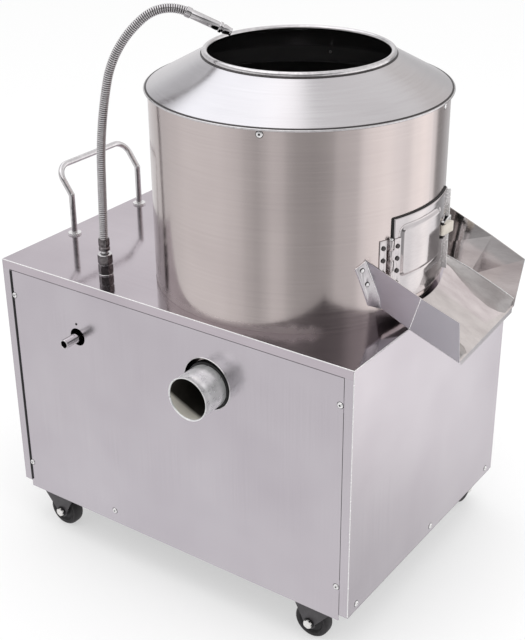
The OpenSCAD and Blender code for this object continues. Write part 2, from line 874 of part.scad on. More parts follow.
module latch_grip() {
    strap_top = strap_x + strap_t;
    tip_y = latch_pin_y + grip_l;
    heel_x = latch_pin_x + latch_boss_r - face_gap;
    color(ivory) at_latch() difference() {
        union() {
            translate([latch_pin_x, latch_pin_y, 0]) cylinder(r = latch_boss_r, h = grip_h);
            linear_extrude(grip_h) polygon([[strap_top, latch_pin_y], [heel_x, latch_pin_y - 1],
                [strap_top + grip_t, tip_y - 1], [strap_top + grip_t - 1, tip_y], [strap_top, tip_y]]);
        }
        translate([latch_pin_x, latch_pin_y, -past])
            cylinder(r = latch_pin_r + run_gap, h = grip_h + 2 * past);
    }
}

module latch_strap() {
    strap_low_y = latch_pin_y + latch_boss_r + 2 * face_gap;
    color(steel) at_latch() translate([strap_x, strap_low_y, (grip_h - strap_h) / 2])
        cube([strap_t, strap_end - strap_low_y, strap_h]);
}

module latch_keeper() {
    keeper_h = 8;
    color(black) at_latch() difference() {
        translate([-2 * keeper_h, edge_y + gasket_edge + 1, (grip_h - strap_h) / 2])
            cube([2 * keeper_h + strap_x - face_gap, keeper_w, strap_h]);
        under_face(barrel_r + run_gap);
    }
}

// ---------------------------------------------------------------- chute

bend_u = barrel_end + barrel_r - 1;
bend_lean = 25;
bend_flare = (chute_flare + chute_flare_lip) / 2 - 1;
edge_u = (barrel_r + barrel_end) / cos(chute_turn) + chute_half_bend * tan(chute_turn);
edge_z = cab_h + chute_clear + chute_t / cos(chute_slope);
chute_z = chute_floor(barrel_r);
flange_w = 12;
lip_drop = 8;
chute_root = barrel_r * 0.75;

function chute_floor(u) = edge_z - (u - edge_u) * tan(chute_slope);
function wall_foot(u, half) = [u, half, chute_floor(u) - chute_t / 2];
function wall_head(u, half) = [u, half, chute_floor(u) + chute_wall];

// A flat or slightly twisted wall between a foot line and a head line
module chute_facet(foot_a, foot_b, head_b, head_a) {
    inner = [0, -chute_t, 0];
    polyhedron(
        points = [foot_a, foot_b, head_b, head_a,
            foot_a + inner, foot_b + inner, head_b + inner, head_a + inner],
        faces = [[0, 1, 2], [0, 2, 3], [4, 6, 5], [4, 7, 6], [0, 5, 1], [0, 4, 5],
            [1, 6, 2], [1, 5, 6], [2, 7, 3], [2, 6, 7], [3, 4, 0], [3, 7, 4]]);
}

module chute_side() {
    end_lean = 4;
    bend_head = wall_head(bend_u + bend_lean, chute_half_bend + bend_flare);
    chute_facet(wall_foot(chute_root, chute_half), wall_foot(bend_u, chute_half_bend), bend_head,
        wall_head(chute_root, chute_half + chute_flare));
    chute_facet(wall_foot(bend_u, chute_half_bend), wall_foot(chute_end, chute_half_lip),
        wall_head(chute_end + end_lean, chute_half_lip + chute_flare_lip), bend_head);
}

module chute_flange() {
    foot_v = chute_half + 2;
    head_v = chute_half + chute_flare;
    head_z = chute_z + chute_wall;
    intersection() {
        translate([0, 0, cab_h]) tube(barrel_r + seat_gap + chute_t, barrel_r + seat_gap, 2 * chute_wall);
        along_x(barrel_r + 2 * chute_t) polygon([[foot_v - 2, chute_z + 8], [head_v - 2, head_z + 17],
            [head_v + flange_w, head_z + 6], [foot_v + 1.5 * flange_w, chute_z + 19]]);
    }
}

// Two rivets through each flange, one over the other
flange_rivets = [[36.5, 92], [34.3, 69]];

module at_flange_rivets() {
    for (side = [-1, 1], p = flange_rivets)
        rotate([0, 0, side * p[0]]) translate([barrel_r + seat_gap + run_gap, 0, cab_h + p[1]])
            rotate([0, 90, 0]) children();
}

module discharge_chute() {
    floor_in = 60;
    floor_l = chute_reach / cos(chute_slope) + floor_in;
    color(bright_steel) at_chute() difference() {
        union() {
            difference() {
                translate([chute_end, 0, chute_floor(chute_end)]) rotate([0, chute_slope, 0])
                    translate([-floor_l, -chute_half_bend, -chute_t])
                        cube([floor_l, 2 * chute_half_bend, chute_t]);
                for (side = [0, 1]) mirror([0, side, 0]) translate([0, 0, chute_z - 2 * chute_wall])
                    linear_extrude(4 * chute_wall) polygon([[chute_root, chute_half],
                        [bend_u, chute_half_bend], [chute_end, chute_half_lip],
                        [chute_end + past, 2 * chute_half], [chute_root, 2 * chute_half]]);
                translate([0, 0, cab_h]) cylinder(r = barrel_r + chute_back_gap, h = barrel_rise);
            }
            translate([chute_end - chute_t, -chute_half_lip + lip_drop, chute_floor(chute_end) - lip_drop])
                cube([chute_t, 2 * (chute_half_lip - lip_drop), lip_drop]);
            chute_side();
            mirror([0, 1, 0]) chute_side();
            chute_flange();
            mirror([0, 1, 0]) chute_flange();
        }
        translate([0, 0, cab_h]) cylinder(r = barrel_r + seat_gap, h = barrel_rise);
        at_flange_rivets() translate([0, 0, -past])
            cylinder(r = rivet_r + run_gap, h = chute_t + 2 * past);
    }
}

// ---------------------------------------------------------------- push handle

handle_ys = [handle_y, handle_y + handle_span];
handle_tilt = atan(handle_lean / handle_top);
handle_rise = sqrt(handle_lean * handle_lean + handle_top * handle_top);
handle_tail = 14;

module push_handle() {
    color(bright_steel) placed() translate([handle_x, handle_y, cab_h]) {
        for (y = [0, handle_span]) translate([0, y, 0]) {
            translate([0, 0, -handle_tail]) cylinder(r = handle_r, h = handle_tail + handle_knee);
            translate([0, 0, handle_knee]) sphere(handle_r + bead_step);
        }
        translate([0, 0, handle_knee]) rotate([0, -handle_tilt, 0]) {
            for (y = [0, handle_span]) translate([0, y, 0])
                cylinder(r = handle_r, h = handle_rise - handle_bend);
            translate([0, handle_bend, handle_rise - handle_bend]) rotate([0, -90, 0])
                rotate([0, 0, -90]) rotate_extrude(angle = 90) translate([handle_bend, 0]) circle(handle_r);
            translate([0, handle_span - handle_bend, handle_rise - handle_bend]) rotate([0, -90, 0])
                rotate_extrude(angle = 90) translate([handle_bend, 0]) circle(handle_r);
            translate([0, handle_bend, handle_rise]) rotate([-90, 0, 0])
                cylinder(r = handle_r, h = handle_span - 2 * handle_bend);
        }
    }
}

module handle_nuts() {
    washer_r = 11;
    washer_t = 3;
    nut_h = 7;
    handle_nut_af = 17;
    color(steel) placed() for (y = handle_ys) translate([handle_x, y, cab_h]) difference() {
        union() {
            cylinder(r = washer_r, h = washer_t);
            translate([0, 0, -skin_t - nut_h]) hex(handle_nut_af, nut_h);
        }
        translate([0, 0, -skin_t - nut_h - past])
            cylinder(r = handle_r + run_gap, h = nut_h + skin_t + washer_t + 2 * past);
    }
}

// ---------------------------------------------------------------- water line

// The hose climbs, then bends over the hopper in three tangent arcs towards the barrel's axis
hose_turn = atan2(barrel_y - hose_y, barrel_x - hose_x);
hose_start = 59;
hose_lean = 1.9;
hose_straight = 113;
hose_arcs = [[751, 10.65], [164, 39.3], [60, 64]];
spout_l = 69;
hose_bore = 4;
stem_bore = 3.5;
// Beads join the hose's straight and bent runs
joint_gap = 0.5;
bead_step = 0.25;
lower_nut_h = 15;
upper_nut_h = 17;
washer_t = 2;
stem_r = 6;
hose_tail = 14;

module at_hose() {
    placed() translate([hose_x, hose_y, cab_h]) rotate([0, 0, hose_turn]) children();
}

// One arc that starts upwards at the origin and bends towards +x, with a bead at its start
module hose_bend(arc, r) {
    trim = joint_gap / arc[0] * 180 / PI;
    translate([arc[0], 0, 0]) rotate([90, 0, 0]) rotate([0, 0, 180 - arc[1] + trim])
        rotate_extrude(angle = arc[1] - 2 * trim) translate([arc[0], 0]) circle(r);
    translate([0, 0, -2 * joint_gap]) cylinder(r = r + bead_step, h = 4 * joint_gap);
}

module after_bend(arc) {
    translate([arc[0] * (1 - cos(arc[1])), 0, arc[0] * sin(arc[1])]) rotate([0, arc[1], 0]) children();
}

module at_hose_arcs() {
    at_hose() translate([0, 0, hose_start]) rotate([0, hose_lean, 0])
        translate([0, 0, hose_straight]) children();
}

module at_spout() {
    at_hose_arcs() after_bend(hose_arcs[0]) after_bend(hose_arcs[1]) after_bend(hose_arcs[2])
        children();
}

nut_groove = 1;
back_nut_h = 6;
nuts_top = washer_t + lower_nut_h + nut_groove + upper_nut_h;
stem_low = washer_t + lower_nut_h + 3;
ferrule_low = nuts_top + face_gap;
ferrule_r = hose_r + 2;

// The hose's run from above its ferrule to the spout, as a rod of radius r
module hose_rod(r) {
    at_hose() translate([0, 0, hose_start]) rotate([0, hose_lean, 0])
        cylinder(r = r, h = hose_straight - joint_gap);
    at_hose_arcs() {
        hose_bend(hose_arcs[0], r);
        after_bend(hose_arcs[0]) {
            hose_bend(hose_arcs[1], r);
            after_bend(hose_arcs[1]) {
                hose_bend(hose_arcs[2], r);
                after_bend(hose_arcs[2]) translate([0, 0, -2 * joint_gap])
                    cylinder(r = r + bead_step, h = 2 * joint_gap);
            }
        }
    }
}

module gooseneck_hose() {
    color(bright_steel) difference() {
        union() {
            hose_rod(hose_r);
            at_hose() {
                translate([0, 0, stem_low]) cylinder(r = stem_r, h = ferrule_low - stem_low);
                translate([0, 0, ferrule_low]) cylinder(r = ferrule_r, h = hose_start - ferrule_low + 2);
            }
        }
        hose_rod(hose_bore);
        at_hose() translate([0, 0, stem_low - past]) cylinder(r = stem_bore, h = hose_start - stem_low + 2);
    }
}

module water_spout() {
    color(bright_steel) at_spout() tube(spout_r, hose_bore, spout_l);
}

module spout_collar() {
    collar_l = 9;
    tip_l = 11;
    color(steel) at_spout() {
        translate([0, 0, spout_l - tip_l - collar_l]) tube(spout_r + 1.5, spout_r, collar_l);
        tube(hose_r + 1, spout_r, collar_l);
    }
}

module hose_nuts() {
    color(steel) at_hose() difference() {
        union() {
            cylinder(r = nut_af / 2 + 3, h = washer_t);
            translate([0, 0, washer_t]) hex(nut_af, lower_nut_h);
            translate([0, 0, washer_t + lower_nut_h]) cylinder(r = nut_af / 2 - 1.5, h = nut_groove);
            translate([0, 0, nuts_top - upper_nut_h]) hex(nut_af, upper_nut_h);
            translate([0, 0, -hose_tail]) cylinder(r = hose_stem_r, h = hose_tail);
            translate([0, 0, -skin_t - back_nut_h]) hex(nut_af, back_nut_h);
        }
        translate([0, 0, -hose_tail - past]) cylinder(r = hose_bore, h = hose_tail + nuts_top);
        translate([0, 0, stem_low - face_gap]) cylinder(r = stem_r + run_gap, h = nuts_top);
    }
}

feed_r = 7;
elbow_r = feed_r + 1;
inlet_back_y = hose_y - elbow_r - 1;
inlet_nut_l = 12;
inlet_nut_af = 24;
inlet_t = 2;

module water_inlet() {
    spigot_l = inlet_back_y + inlet_out;
    color(steel) placed() translate([inlet_x, inlet_back_y, inlet_z]) rotate([90, 0, 0]) difference() {
        union() {
            cylinder(r = inlet_r - inlet_step, h = inlet_back_y);
            translate([0, 0, inlet_back_y]) cylinder(r = inlet_r, h = inlet_out);
            hex(inlet_nut_af, inlet_nut_l);
        }
        translate([0, 0, -past]) cylinder(r = inlet_r - inlet_t, h = spigot_l + 2 * past);
    }
}

module feed_pipe() {
    color(rubber) placed() {
        translate([inlet_x, hose_y, inlet_z]) {
            sphere(elbow_r);
            rotate([90, 0, 0]) cylinder(r = elbow_r, h = hose_y - inlet_back_y);
            rotate([0, 90, 0]) cylinder(r = feed_r, h = hose_x - inlet_x);
        }
        translate([hose_x, hose_y, inlet_z]) {
            sphere(elbow_r);
            cylinder(r = feed_r, h = inlet_drop - hose_tail);
        }
    }
}

// ---------------------------------------------------------------- disc, spindle and drive

disc_top = cab_h + disc_rise;
disc_low = disc_top - disc_t;
hub_r = spindle_r + 14;
hub_h = 38;
sleeve_t = 4;
hub_deep = 14;
sweep_gap = 8;
sweep_t = 6;
seal_h = 8;
belt_drop = 30;
belt_z = deck_low - belt_drop;
pulley_w = 20;
housing_flange_t = 10;
motor_flange_t = 10;
housing_r = 42;
housing_top = floor_z - 6;
bearing_w = 16;
bearing_r = 31;
groove_slope = tan(20);

module disc_wave() {
    wave_r = 40;
    wave_end = disc_r - 8;
    wave_start = hub_r + sleeve_t;
    rotate([0, 90, 0]) translate([wave_r - wave_h, 0, wave_start])
        cylinder(r = wave_r, h = wave_end - wave_start);
}

module peeling_disc() {
    sweep_h = disc_low - floor_z - floor_t - sweep_gap;
    sweep_end = disc_r - 12;
    color(black) at_barrel() difference() {
        union() {
            translate([0, 0, disc_low]) cylinder(r = disc_r, h = disc_t);
            translate([0, 0, disc_low - hub_h]) tube(hub_r + sleeve_t, hub_r, hub_h + past);
            translate([0, 0, disc_low - hub_deep]) cylinder(r = hub_r, h = hub_deep + past);
            intersection() {
                translate([0, 0, disc_top]) for (i = [0 : wave_count - 1])
                    rotate([0, 0, i * 360 / wave_count + 30]) disc_wave();
                translate([0, 0, disc_top - 1]) cylinder(r = disc_r - 6, h = wave_h + 2);
            }
            for (i = [0 : 2]) rotate([0, 0, i * 120])
                translate([disc_r / 2, -sweep_t / 2, disc_low - sweep_h])
                    cube([sweep_end - disc_r / 2, sweep_t, sweep_h + past]);
        }
        translate([0, 0, disc_low - hub_h - past])
            cylinder(r = spindle_r + run_gap, h = hub_h + disc_t + wave_h + 2 * past);
    }
}

spindle_low = belt_z - pulley_w;
thread_h = 16;
thread_r = spindle_r - 4;
disc_nut_af = 34;
disc_washer_t = 3;

module spindle() {
    color(bright_steel) at_barrel() {
        translate([0, 0, spindle_low]) cylinder(r = spindle_r, h = disc_top - spindle_low);
        translate([0, 0, disc_top]) cylinder(r = thread_r, h = thread_h);
    }
}

module disc_nut() {
    color(steel) at_barrel() translate([0, 0, disc_top]) difference() {
        union() {
            cylinder(r = spindle_r + 8, h = disc_washer_t);
            translate([0, 0, disc_washer_t]) hex(disc_nut_af, thread_h);
        }
        translate([0, 0, -past]) cylinder(r = thread_r + run_gap, h = thread_h + past);
    }
}

module bearing_housing() {
    color(dark_steel) at_barrel() difference() {
        union() {
            translate([0, 0, deck_top]) cylinder(r = housing_flange_r, h = housing_flange_t);
            translate([0, 0, deck_top]) cylinder(r = housing_r, h = housing_top - deck_top);
        }
        translate([0, 0, deck_top - past]) cylinder(r = spindle_r + spindle_clear, h = housing_top);
        translate([0, 0, deck_top - past]) cylinder(r = bearing_r + seat_gap, h = bearing_w + past);
        translate([0, 0, housing_top - seal_h - bearing_w])
            cylinder(r = bearing_r + seat_gap, h = seal_h + bearing_w + past);
        translate([-barrel_x, -barrel_y, 0]) at_housing_bolts() translate([0, 0, deck_top - past])
            cylinder(r = deck_bolt_r + drill_gap, h = housing_flange_t + 2 * past);
    }
}

module spindle_bearings() {
    color(bright_steel) at_barrel()
        for (z = [deck_top, housing_top - seal_h - bearing_w]) translate([0, 0, z])
            tube(bearing_r, spindle_r + run_gap, bearing_w);
}

module shaft_seal() {
    color(rubber) at_barrel() translate([0, 0, housing_top - seal_h])
        tube(bearing_r, spindle_r + run_gap, seal_h);
}

// Section of a grooved pulley: rim, web and hub, right of its axis
module pulley_section(pitch_r, hub_out) {
    rim_r = pitch_r + 4;
    rim_t = 8;
    web_t = 8;
    belt_low = pitch_r - belt_h * 0.6;
    groove_low = belt_low - 2;
    half_low = belt_w / 2 - belt_h * groove_slope + belt_gap / cos(20) - 2 * groove_slope;
    half_top = half_low + (rim_r - groove_low) * groove_slope;
    difference() {
        union() {
            translate([0, -pulley_w / 2]) square([hub_out, pulley_w]);
            translate([0, -web_t / 2]) square([groove_low - 2, web_t]);
            translate([groove_low - rim_t, -pulley_w / 2]) square([rim_r - groove_low + rim_t, pulley_w]);
        }
        polygon([[groove_low, -half_low], [rim_r + past, -half_top - past * groove_slope],
            [rim_r + past, half_top + past * groove_slope], [groove_low, half_low]]);
    }
}

module spindle_pulley() {
    color(dark_steel) at_barrel() translate([0, 0, belt_z]) difference() {
        rotate_extrude() pulley_section(big_pulley_r, hub_r);
        translate([0, 0, -pulley_w]) cylinder(r = spindle_r + run_gap, h = 2 * pulley_w);
    }
}

module motor_pulley() {
    color(dark_steel) placed() translate([motor_x, barrel_y, belt_z]) difference() {
        rotate_extrude() pulley_section(small_pulley_r, motor_shaft_r + 8);
        translate([0, 0, -pulley_w]) cylinder(r = motor_shaft_r + run_gap, h = 2 * pulley_w);
    }
}

belt_span = barrel_x - motor_x;
belt_lean = asin((big_pulley_r - small_pulley_r) / belt_span);

module belt_section(pitch_r) {
    low = pitch_r - belt_h * 0.6;
    half_low = belt_w / 2 - belt_h * groove_slope;
    polygon([[low, -half_low], [low + belt_h, -belt_w / 2], [low + belt_h, belt_w / 2], [low, half_low]]);
}

module drive_belt() {
    run = belt_span * cos(belt_lean);
    wrap = 180 + 2 * belt_lean;
    color(rubber) placed() translate([barrel_x, barrel_y, belt_z]) {
        rotate([0, 0, -wrap / 2]) rotate_extrude(angle = wrap) belt_section(big_pulley_r);
        translate([-belt_span, 0, 0]) rotate([0, 0, wrap / 2])
            rotate_extrude(angle = 360 - wrap) belt_section(small_pulley_r);
        for (side = [-1, 1]) rotate([0, 0, side * wrap / 2]) rotate([90, 0, 0])
            translate([0, 0, side < 0 ? 0 : -run]) linear_extrude(run) belt_section(big_pulley_r);
    }
}

module motor_body() {
    fins = 24;
    fin_t = 2.5;
    fin_out = 6;
    fin_in = 22;
    cover_h = 12;
    terminal_w = 60;
    terminal_out = 34;
    terminal_low = 50;
    terminal_h = 80;
    flange_z = deck_top;
    body_z = flange_z + motor_flange_t;
    color([0.32, 0.36, 0.42]) placed() translate([motor_x, barrel_y, 0]) difference() {
        union() {
            translate([0, 0, flange_z]) cylinder(r = motor_flange_r, h = motor_flange_t);
            translate([0, 0, body_z]) cylinder(r = motor_r, h = motor_l);
            translate([0, 0, body_z + motor_l]) cylinder(r = motor_r - 4, h = cover_h);
            for (i = [0 : fins - 1]) rotate([0, 0, i * 360 / fins])
                translate([motor_r - 2, -fin_t / 2, body_z + fin_in])
                    cube([fin_out + 2, fin_t, motor_l - 2 * fin_in]);
            block([-terminal_w / 2, -motor_r - terminal_out, body_z + terminal_low],
                [terminal_w / 2, -motor_r * 0.8, body_z + terminal_low + terminal_h]);
        }
        translate([0, 0, deck_top - past])
            cylinder(r = motor_shaft_r + run_gap, h = motor_l / 2);
        translate([-motor_x, -barrel_y, 0]) at_motor_bolts() translate([0, 0, deck_top - past])
            cylinder(r = deck_bolt_r + drill_gap, h = motor_flange_t + 2 * past);
    }
}

module motor_shaft() {
    shaft_low = belt_z - 16;
    shaft_top = deck_top + motor_l / 2 - 2;
    color(bright_steel) placed() translate([motor_x, barrel_y, shaft_low])
        cylinder(r = motor_shaft_r, h = shaft_top - shaft_low);
}

// ---------------------------------------------------------------- switch

button_z = [24, -20];
button_out = 5;

module at_switch() {
    placed() translate([switch_x, cab_w, switch_z]) children();
}

module switch_box() {
    wall = 2.5;
    w = switch_w / 2;
    h = switch_h / 2;
    color(black) at_switch() difference() {
        block([-w, 0, -h], [w, switch_d, h]);
        block([-w + wall, -past, -h + wall], [w - wall, switch_d - wall, h - wall]);
        for (z = button_z) translate([0, 0, z]) rotate([-90, 0, 0])
            cylinder(r = button_r + face_gap, h = switch_d + past);
    }
}

// A button: its cap, and the plunger inside the box
module push_button(z, cap_out) {
    cap_in = 6;
    plunger_r = 5;
    plunger_low = 10;
    at_switch() translate([0, 0, z]) rotate([-90, 0, 0]) {
        translate([0, 0, switch_d - cap_in]) cylinder(r = button_r, h = cap_in + cap_out);
        translate([0, 0, plunger_low]) cylinder(r = plunger_r, h = switch_d - cap_in - plunger_low);
    }
}

module start_button() {
    color([0.10, 0.52, 0.25]) push_button(button_z[0], button_out);
}

module stop_button() {
    color([0.75, 0.10, 0.09]) push_button(button_z[1], button_out);
}

module cable_gland() {
    gland_in = 14;
    gland_nut_h = 5;
    flange_h = 6;
    cap_h = 14;
    cap_r = 10;
    cable_r = 4.5;
    color(black) placed() translate([gland_x, cab_w, gland_z]) rotate([-90, 0, 0]) difference() {
        union() {
            translate([0, 0, -gland_in]) cylinder(r = gland_r, h = gland_in + flange_h);
            translate([0, 0, -skin_t - gland_nut_h]) hex(3 * gland_r, gland_nut_h);
            hex(2.75 * gland_r, flange_h);
            translate([0, 0, flange_h]) cylinder(r = cap_r, h = cap_h);
        }
        translate([0, 0, -gland_in - past])
            cylinder(r = cable_r, h = gland_in + flange_h + cap_h + 2 * past);
    }
}

// ---------------------------------------------------------------- casters

plate_low = -frame_drop - caster_plate_t;
race_h = 8;
crown_z = plate_low - race_h - face_gap;
crown_t = 2.5;
axle_z = wheel_r - stand_h;
cheek_y = wheel_w / 2 + cheek_gap;
kingpin_r = 4;
kingpin_head_r = kingpin_r + 3;
kingpin_head_h = 3;
race_r = 18;
caster_plate = [27, 23];
caster_bolt_af = 10;
caster_bolt_head_h = 4;
axle_bolt_af = 13;
axle_nut_h = 5;
caster_rest = [0, 180, 270, 90];

module at_caster(i) {
    placed() translate([caster_xs[i], caster_ys[i], 0]) rotate([0, 0, caster_rest[i]]) children();
}

module caster_plates() {
    color(steel) {
        for (i = [0 : 3]) placed() translate([caster_xs[i], caster_ys[i], 0]) difference() {
            union() {
                block([-caster_plate[0], -caster_plate[1], plate_low],
                    [caster_plate[0], caster_plate[1], -frame_drop]);
                translate([0, 0, plate_low - race_h]) cylinder(r = race_r, h = race_h);
                translate([0, 0, crown_z - crown_t - face_gap]) {
                    cylinder(r = kingpin_r, h = crown_t + race_h);
                    translate([0, 0, -kingpin_head_h]) cylinder(r = kingpin_head_r, h = kingpin_head_h);
                }
            }
            for (sx = [-1, 1], sy = [-1, 1])
                translate([sx * caster_bolt_x, sy * caster_bolt_y, plate_low - past])
                    cylinder(r = bolt_r + drill_gap, h = caster_plate_t + 2 * past);
        }
        placed() at_caster_bolts() translate([0, 0, -caster_plate_t]) {
            translate([0, 0, -caster_bolt_head_h]) hex(caster_bolt_af, caster_bolt_head_h);
            cylinder(r = bolt_r, h = caster_plate_t + gusset_t + 3);
        }
    }
}

// A fork with its wheel behind the swivel, at +x, and the axle bolt with its nut
module caster_fork(i) {
    cheek_out = cheek_y + cheek_t;
    boss_r = 11;
    fork_front = 19;
    fork_back = 26;
    front_x = -fork_front;
    back_x = trail + fork_back;
    drop = crown_z - axle_z;
    color(black) at_caster(i) {
        difference() {
            union() {
                block([front_x, -cheek_out, crown_z - crown_t], [back_x, cheek_out, crown_z]);
                for (y = [-cheek_out, cheek_y]) translate([0, y + cheek_t, crown_z]) rotate([90, 0, 0])
                    linear_extrude(cheek_t) {
                        polygon([[front_x, 0], [back_x, 0], [back_x, -0.3 * drop],
                            [trail + boss_r, -drop], [trail - boss_r, -drop], [front_x + 8, -0.3 * drop]]);
                        translate([trail, -drop]) circle(boss_r);
                    }
            }
            translate([0, 0, crown_z - crown_t - past])
                cylinder(r = kingpin_r + run_gap, h = crown_t + 2 * past);
            translate([trail, cheek_out + past, axle_z]) rotate([90, 0, 0])
                cylinder(r = axle_r + run_gap, h = 2 * (cheek_out + past));
        }
        translate([trail, 0, axle_z]) rotate([90, 0, 0]) {
            translate([0, 0, -cheek_out - axle_nut_h - 1])
                cylinder(r = axle_r, h = 2 * cheek_out + axle_nut_h + 1);
            translate([0, 0, cheek_out]) hex(axle_bolt_af, axle_nut_h);
            translate([0, 0, -cheek_out - axle_nut_h]) difference() {
                hex(axle_bolt_af, axle_nut_h);
                translate([0, 0, -past]) cylinder(r = axle_r + run_gap, h = axle_nut_h + 2 * past);
            }
        }
    }
}

module caster_wheel(i) {
    edge = 4;
    half = wheel_w / 2;
    bore = axle_r + run_gap;
    color(rubber) at_caster(i) translate([trail, 0, axle_z]) rotate([90, 0, 0])
        rotate_extrude() polygon([[bore, -half], [wheel_r - edge, -half], [wheel_r, edge - half],
            [wheel_r, half - edge], [wheel_r - edge, half], [bore, half]]);
}

chassis_frame();
spindle_deck();
top_plate();
left_side_panel();
right_side_panel();
front_panel();
rear_panel();
panel_screws();
barrel_shell();
barrel_floor();
abrasive_liner();
drain_pipe();
hopper_cone();
mouth_rim();
hopper_screws();
door_plate();
door_gasket();
hinge_leaf_fixed();
hinge_leaf_door();
hinge_pin();
fixed_rivets();
door_rivets();
latch_bracket();
latch_grip();
latch_strap();
latch_keeper();
discharge_chute();
push_handle();
handle_nuts();
hose_nuts();
gooseneck_hose();
water_spout();
spout_collar();
water_inlet();
feed_pipe();
peeling_disc();
spindle();
disc_nut();
bearing_housing();
spindle_bearings();
shaft_seal();
spindle_pulley();
drive_belt();
motor_body();
motor_shaft();
motor_pulley();
deck_bolts();
switch_box();
start_button();
stop_button();
cable_gland();
caster_plates();
caster_fork(0);  // caster_fork_1
caster_fork(1);  // caster_fork_2
caster_fork(2);  // caster_fork_3
caster_fork(3);  // caster_fork_4
caster_wheel(0);  // caster_wheel_1
caster_wheel(1);  // caster_wheel_2
caster_wheel(2);  // caster_wheel_3
caster_wheel(3);  // caster_wheel_4
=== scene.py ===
"""Looks of an electric potato peeler: a stainless barrel on a wheeled sheet-metal cabinet."""
import math

import bmesh
import bpy
from mathutils import Matrix, Vector


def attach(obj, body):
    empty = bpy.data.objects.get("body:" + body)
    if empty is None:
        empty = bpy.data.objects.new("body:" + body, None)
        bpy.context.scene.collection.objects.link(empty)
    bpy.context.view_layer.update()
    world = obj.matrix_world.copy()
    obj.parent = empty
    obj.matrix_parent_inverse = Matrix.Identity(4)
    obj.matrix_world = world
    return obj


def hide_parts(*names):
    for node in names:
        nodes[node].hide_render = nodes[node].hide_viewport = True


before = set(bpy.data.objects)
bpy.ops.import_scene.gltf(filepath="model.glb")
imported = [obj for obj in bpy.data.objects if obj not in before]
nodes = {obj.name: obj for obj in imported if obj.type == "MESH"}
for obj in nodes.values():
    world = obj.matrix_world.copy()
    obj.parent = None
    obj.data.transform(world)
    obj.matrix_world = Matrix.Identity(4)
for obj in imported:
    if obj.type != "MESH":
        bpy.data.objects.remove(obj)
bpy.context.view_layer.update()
scene = bpy.context.scene

# ---------------------------------------------------------------- sizes, in millimetres

CAB_L, CAB_W, CAB_H = 670, 493, 425
BARREL_X, BARREL_Y, BARREL_R = 422, 236, 225
LIP_Z, LIP_R = 727, 229.5
HOSE_X, HOSE_Y = 180, 51.4
DRAIN_X, DRAIN_Z, DRAIN_HOLE_Z = 416, 320, 324
INLET_X, INLET_Z = 156.5, 327

# The casters lift the cabinet by this, in metres
CASTERS_HIGH = 0.086
# From the cabinet's corner, in millimetres, to the middle of the stand, in metres
CABINET = Matrix.Translation((-0.369, -0.24625, CASTERS_HIGH)) @ Matrix.Scale(0.001, 4)


def turned(degrees, axis="Z"):
    return Matrix.Rotation(math.radians(degrees), 4, axis)


def moved(x, y, z):
    return Matrix.Translation((x, y, z))


BARREL = CABINET @ moved(BARREL_X, BARREL_Y, 0)

# ---------------------------------------------------------------- camera, floor and light

# The frame and the camera's focal length and centre, in pixels, and its sensor in millimetres
FRAME_W, FRAME_H = 525, 640
FOCAL_PX, CENTRE_X_PX, CENTRE_Y_PX = 1218.9, 274.39, 309.10
SENSOR = 36
CAMERA_AT = (1.0295, -1.48885, 1.3132)
# How far the camera is turned round, dipped and rolled, in degrees
CAMERA_ANGLES = (34.667, 26.239, -0.234)


def place_camera():
    """The camera stands off the drain side's right corner and looks down at the stand."""
    turn, dip, roll = (math.radians(a) for a in CAMERA_ANGLES)
    forward = Vector((-math.sin(turn) * math.cos(dip), math.cos(turn) * math.cos(dip),
                      -math.sin(dip)))
    level = forward.cross(Vector((0, 0, 1))).normalized()
    head = level.cross(forward)
    right = level * math.cos(roll) + head * math.sin(roll)
    up = head * math.cos(roll) - level * math.sin(roll)
    camera = bpy.data.objects.new("camera", bpy.data.cameras.new("camera"))
    scene.collection.objects.link(camera)
    rows = Matrix((right, up, -forward)).transposed().to_4x4()
    camera.matrix_world = Matrix.Translation(CAMERA_AT) @ rows
    camera.data.sensor_width = SENSOR
    camera.data.lens = FOCAL_PX * SENSOR / FRAME_H
    camera.data.shift_x = (FRAME_W / 2 - CENTRE_X_PX) / FRAME_H
    camera.data.shift_y = (CENTRE_Y_PX - FRAME_H / 2) / FRAME_H
    scene.camera = camera


def linear(code):
    """A colour written as sRGB hex, as Blender's linear values."""
    out = []
    for i in (0, 2, 4):
        v = int(code[i:i + 2], 16) / 255
        out.append(v / 12.92 if v <= 0.04045 else ((v + 0.055) / 1.055) ** 2.4)
    return (*out, 1.0)


def add_node(tree, kind, inputs=None, **settings):
    """A shader node with its settings; an input takes a value or another node's output."""
    node = tree.nodes.new(kind)
    for key, value in settings.items():
        setattr(node, key, value)
    for key, value in (inputs or {}).items():
        if isinstance(value, bpy.types.NodeSocket):
            tree.links.new(value, node.inputs[key])
        else:
            node.inputs[key].default_value = value
    return node


def set_stops(ramp, stops, interpolation="LINEAR"):
    """Colour stops of a ramp: (place, colour)."""
    ramp.color_ramp.interpolation = interpolation
    marks = ramp.color_ramp.elements
    while len(marks) > len(stops):
        marks.remove(marks[-1])
    for i, (place, colour) in enumerate(stops):
        mark = marks[i] if i < len(marks) else marks.new(place)
        mark.position = place
        mark.color = colour
    return ramp


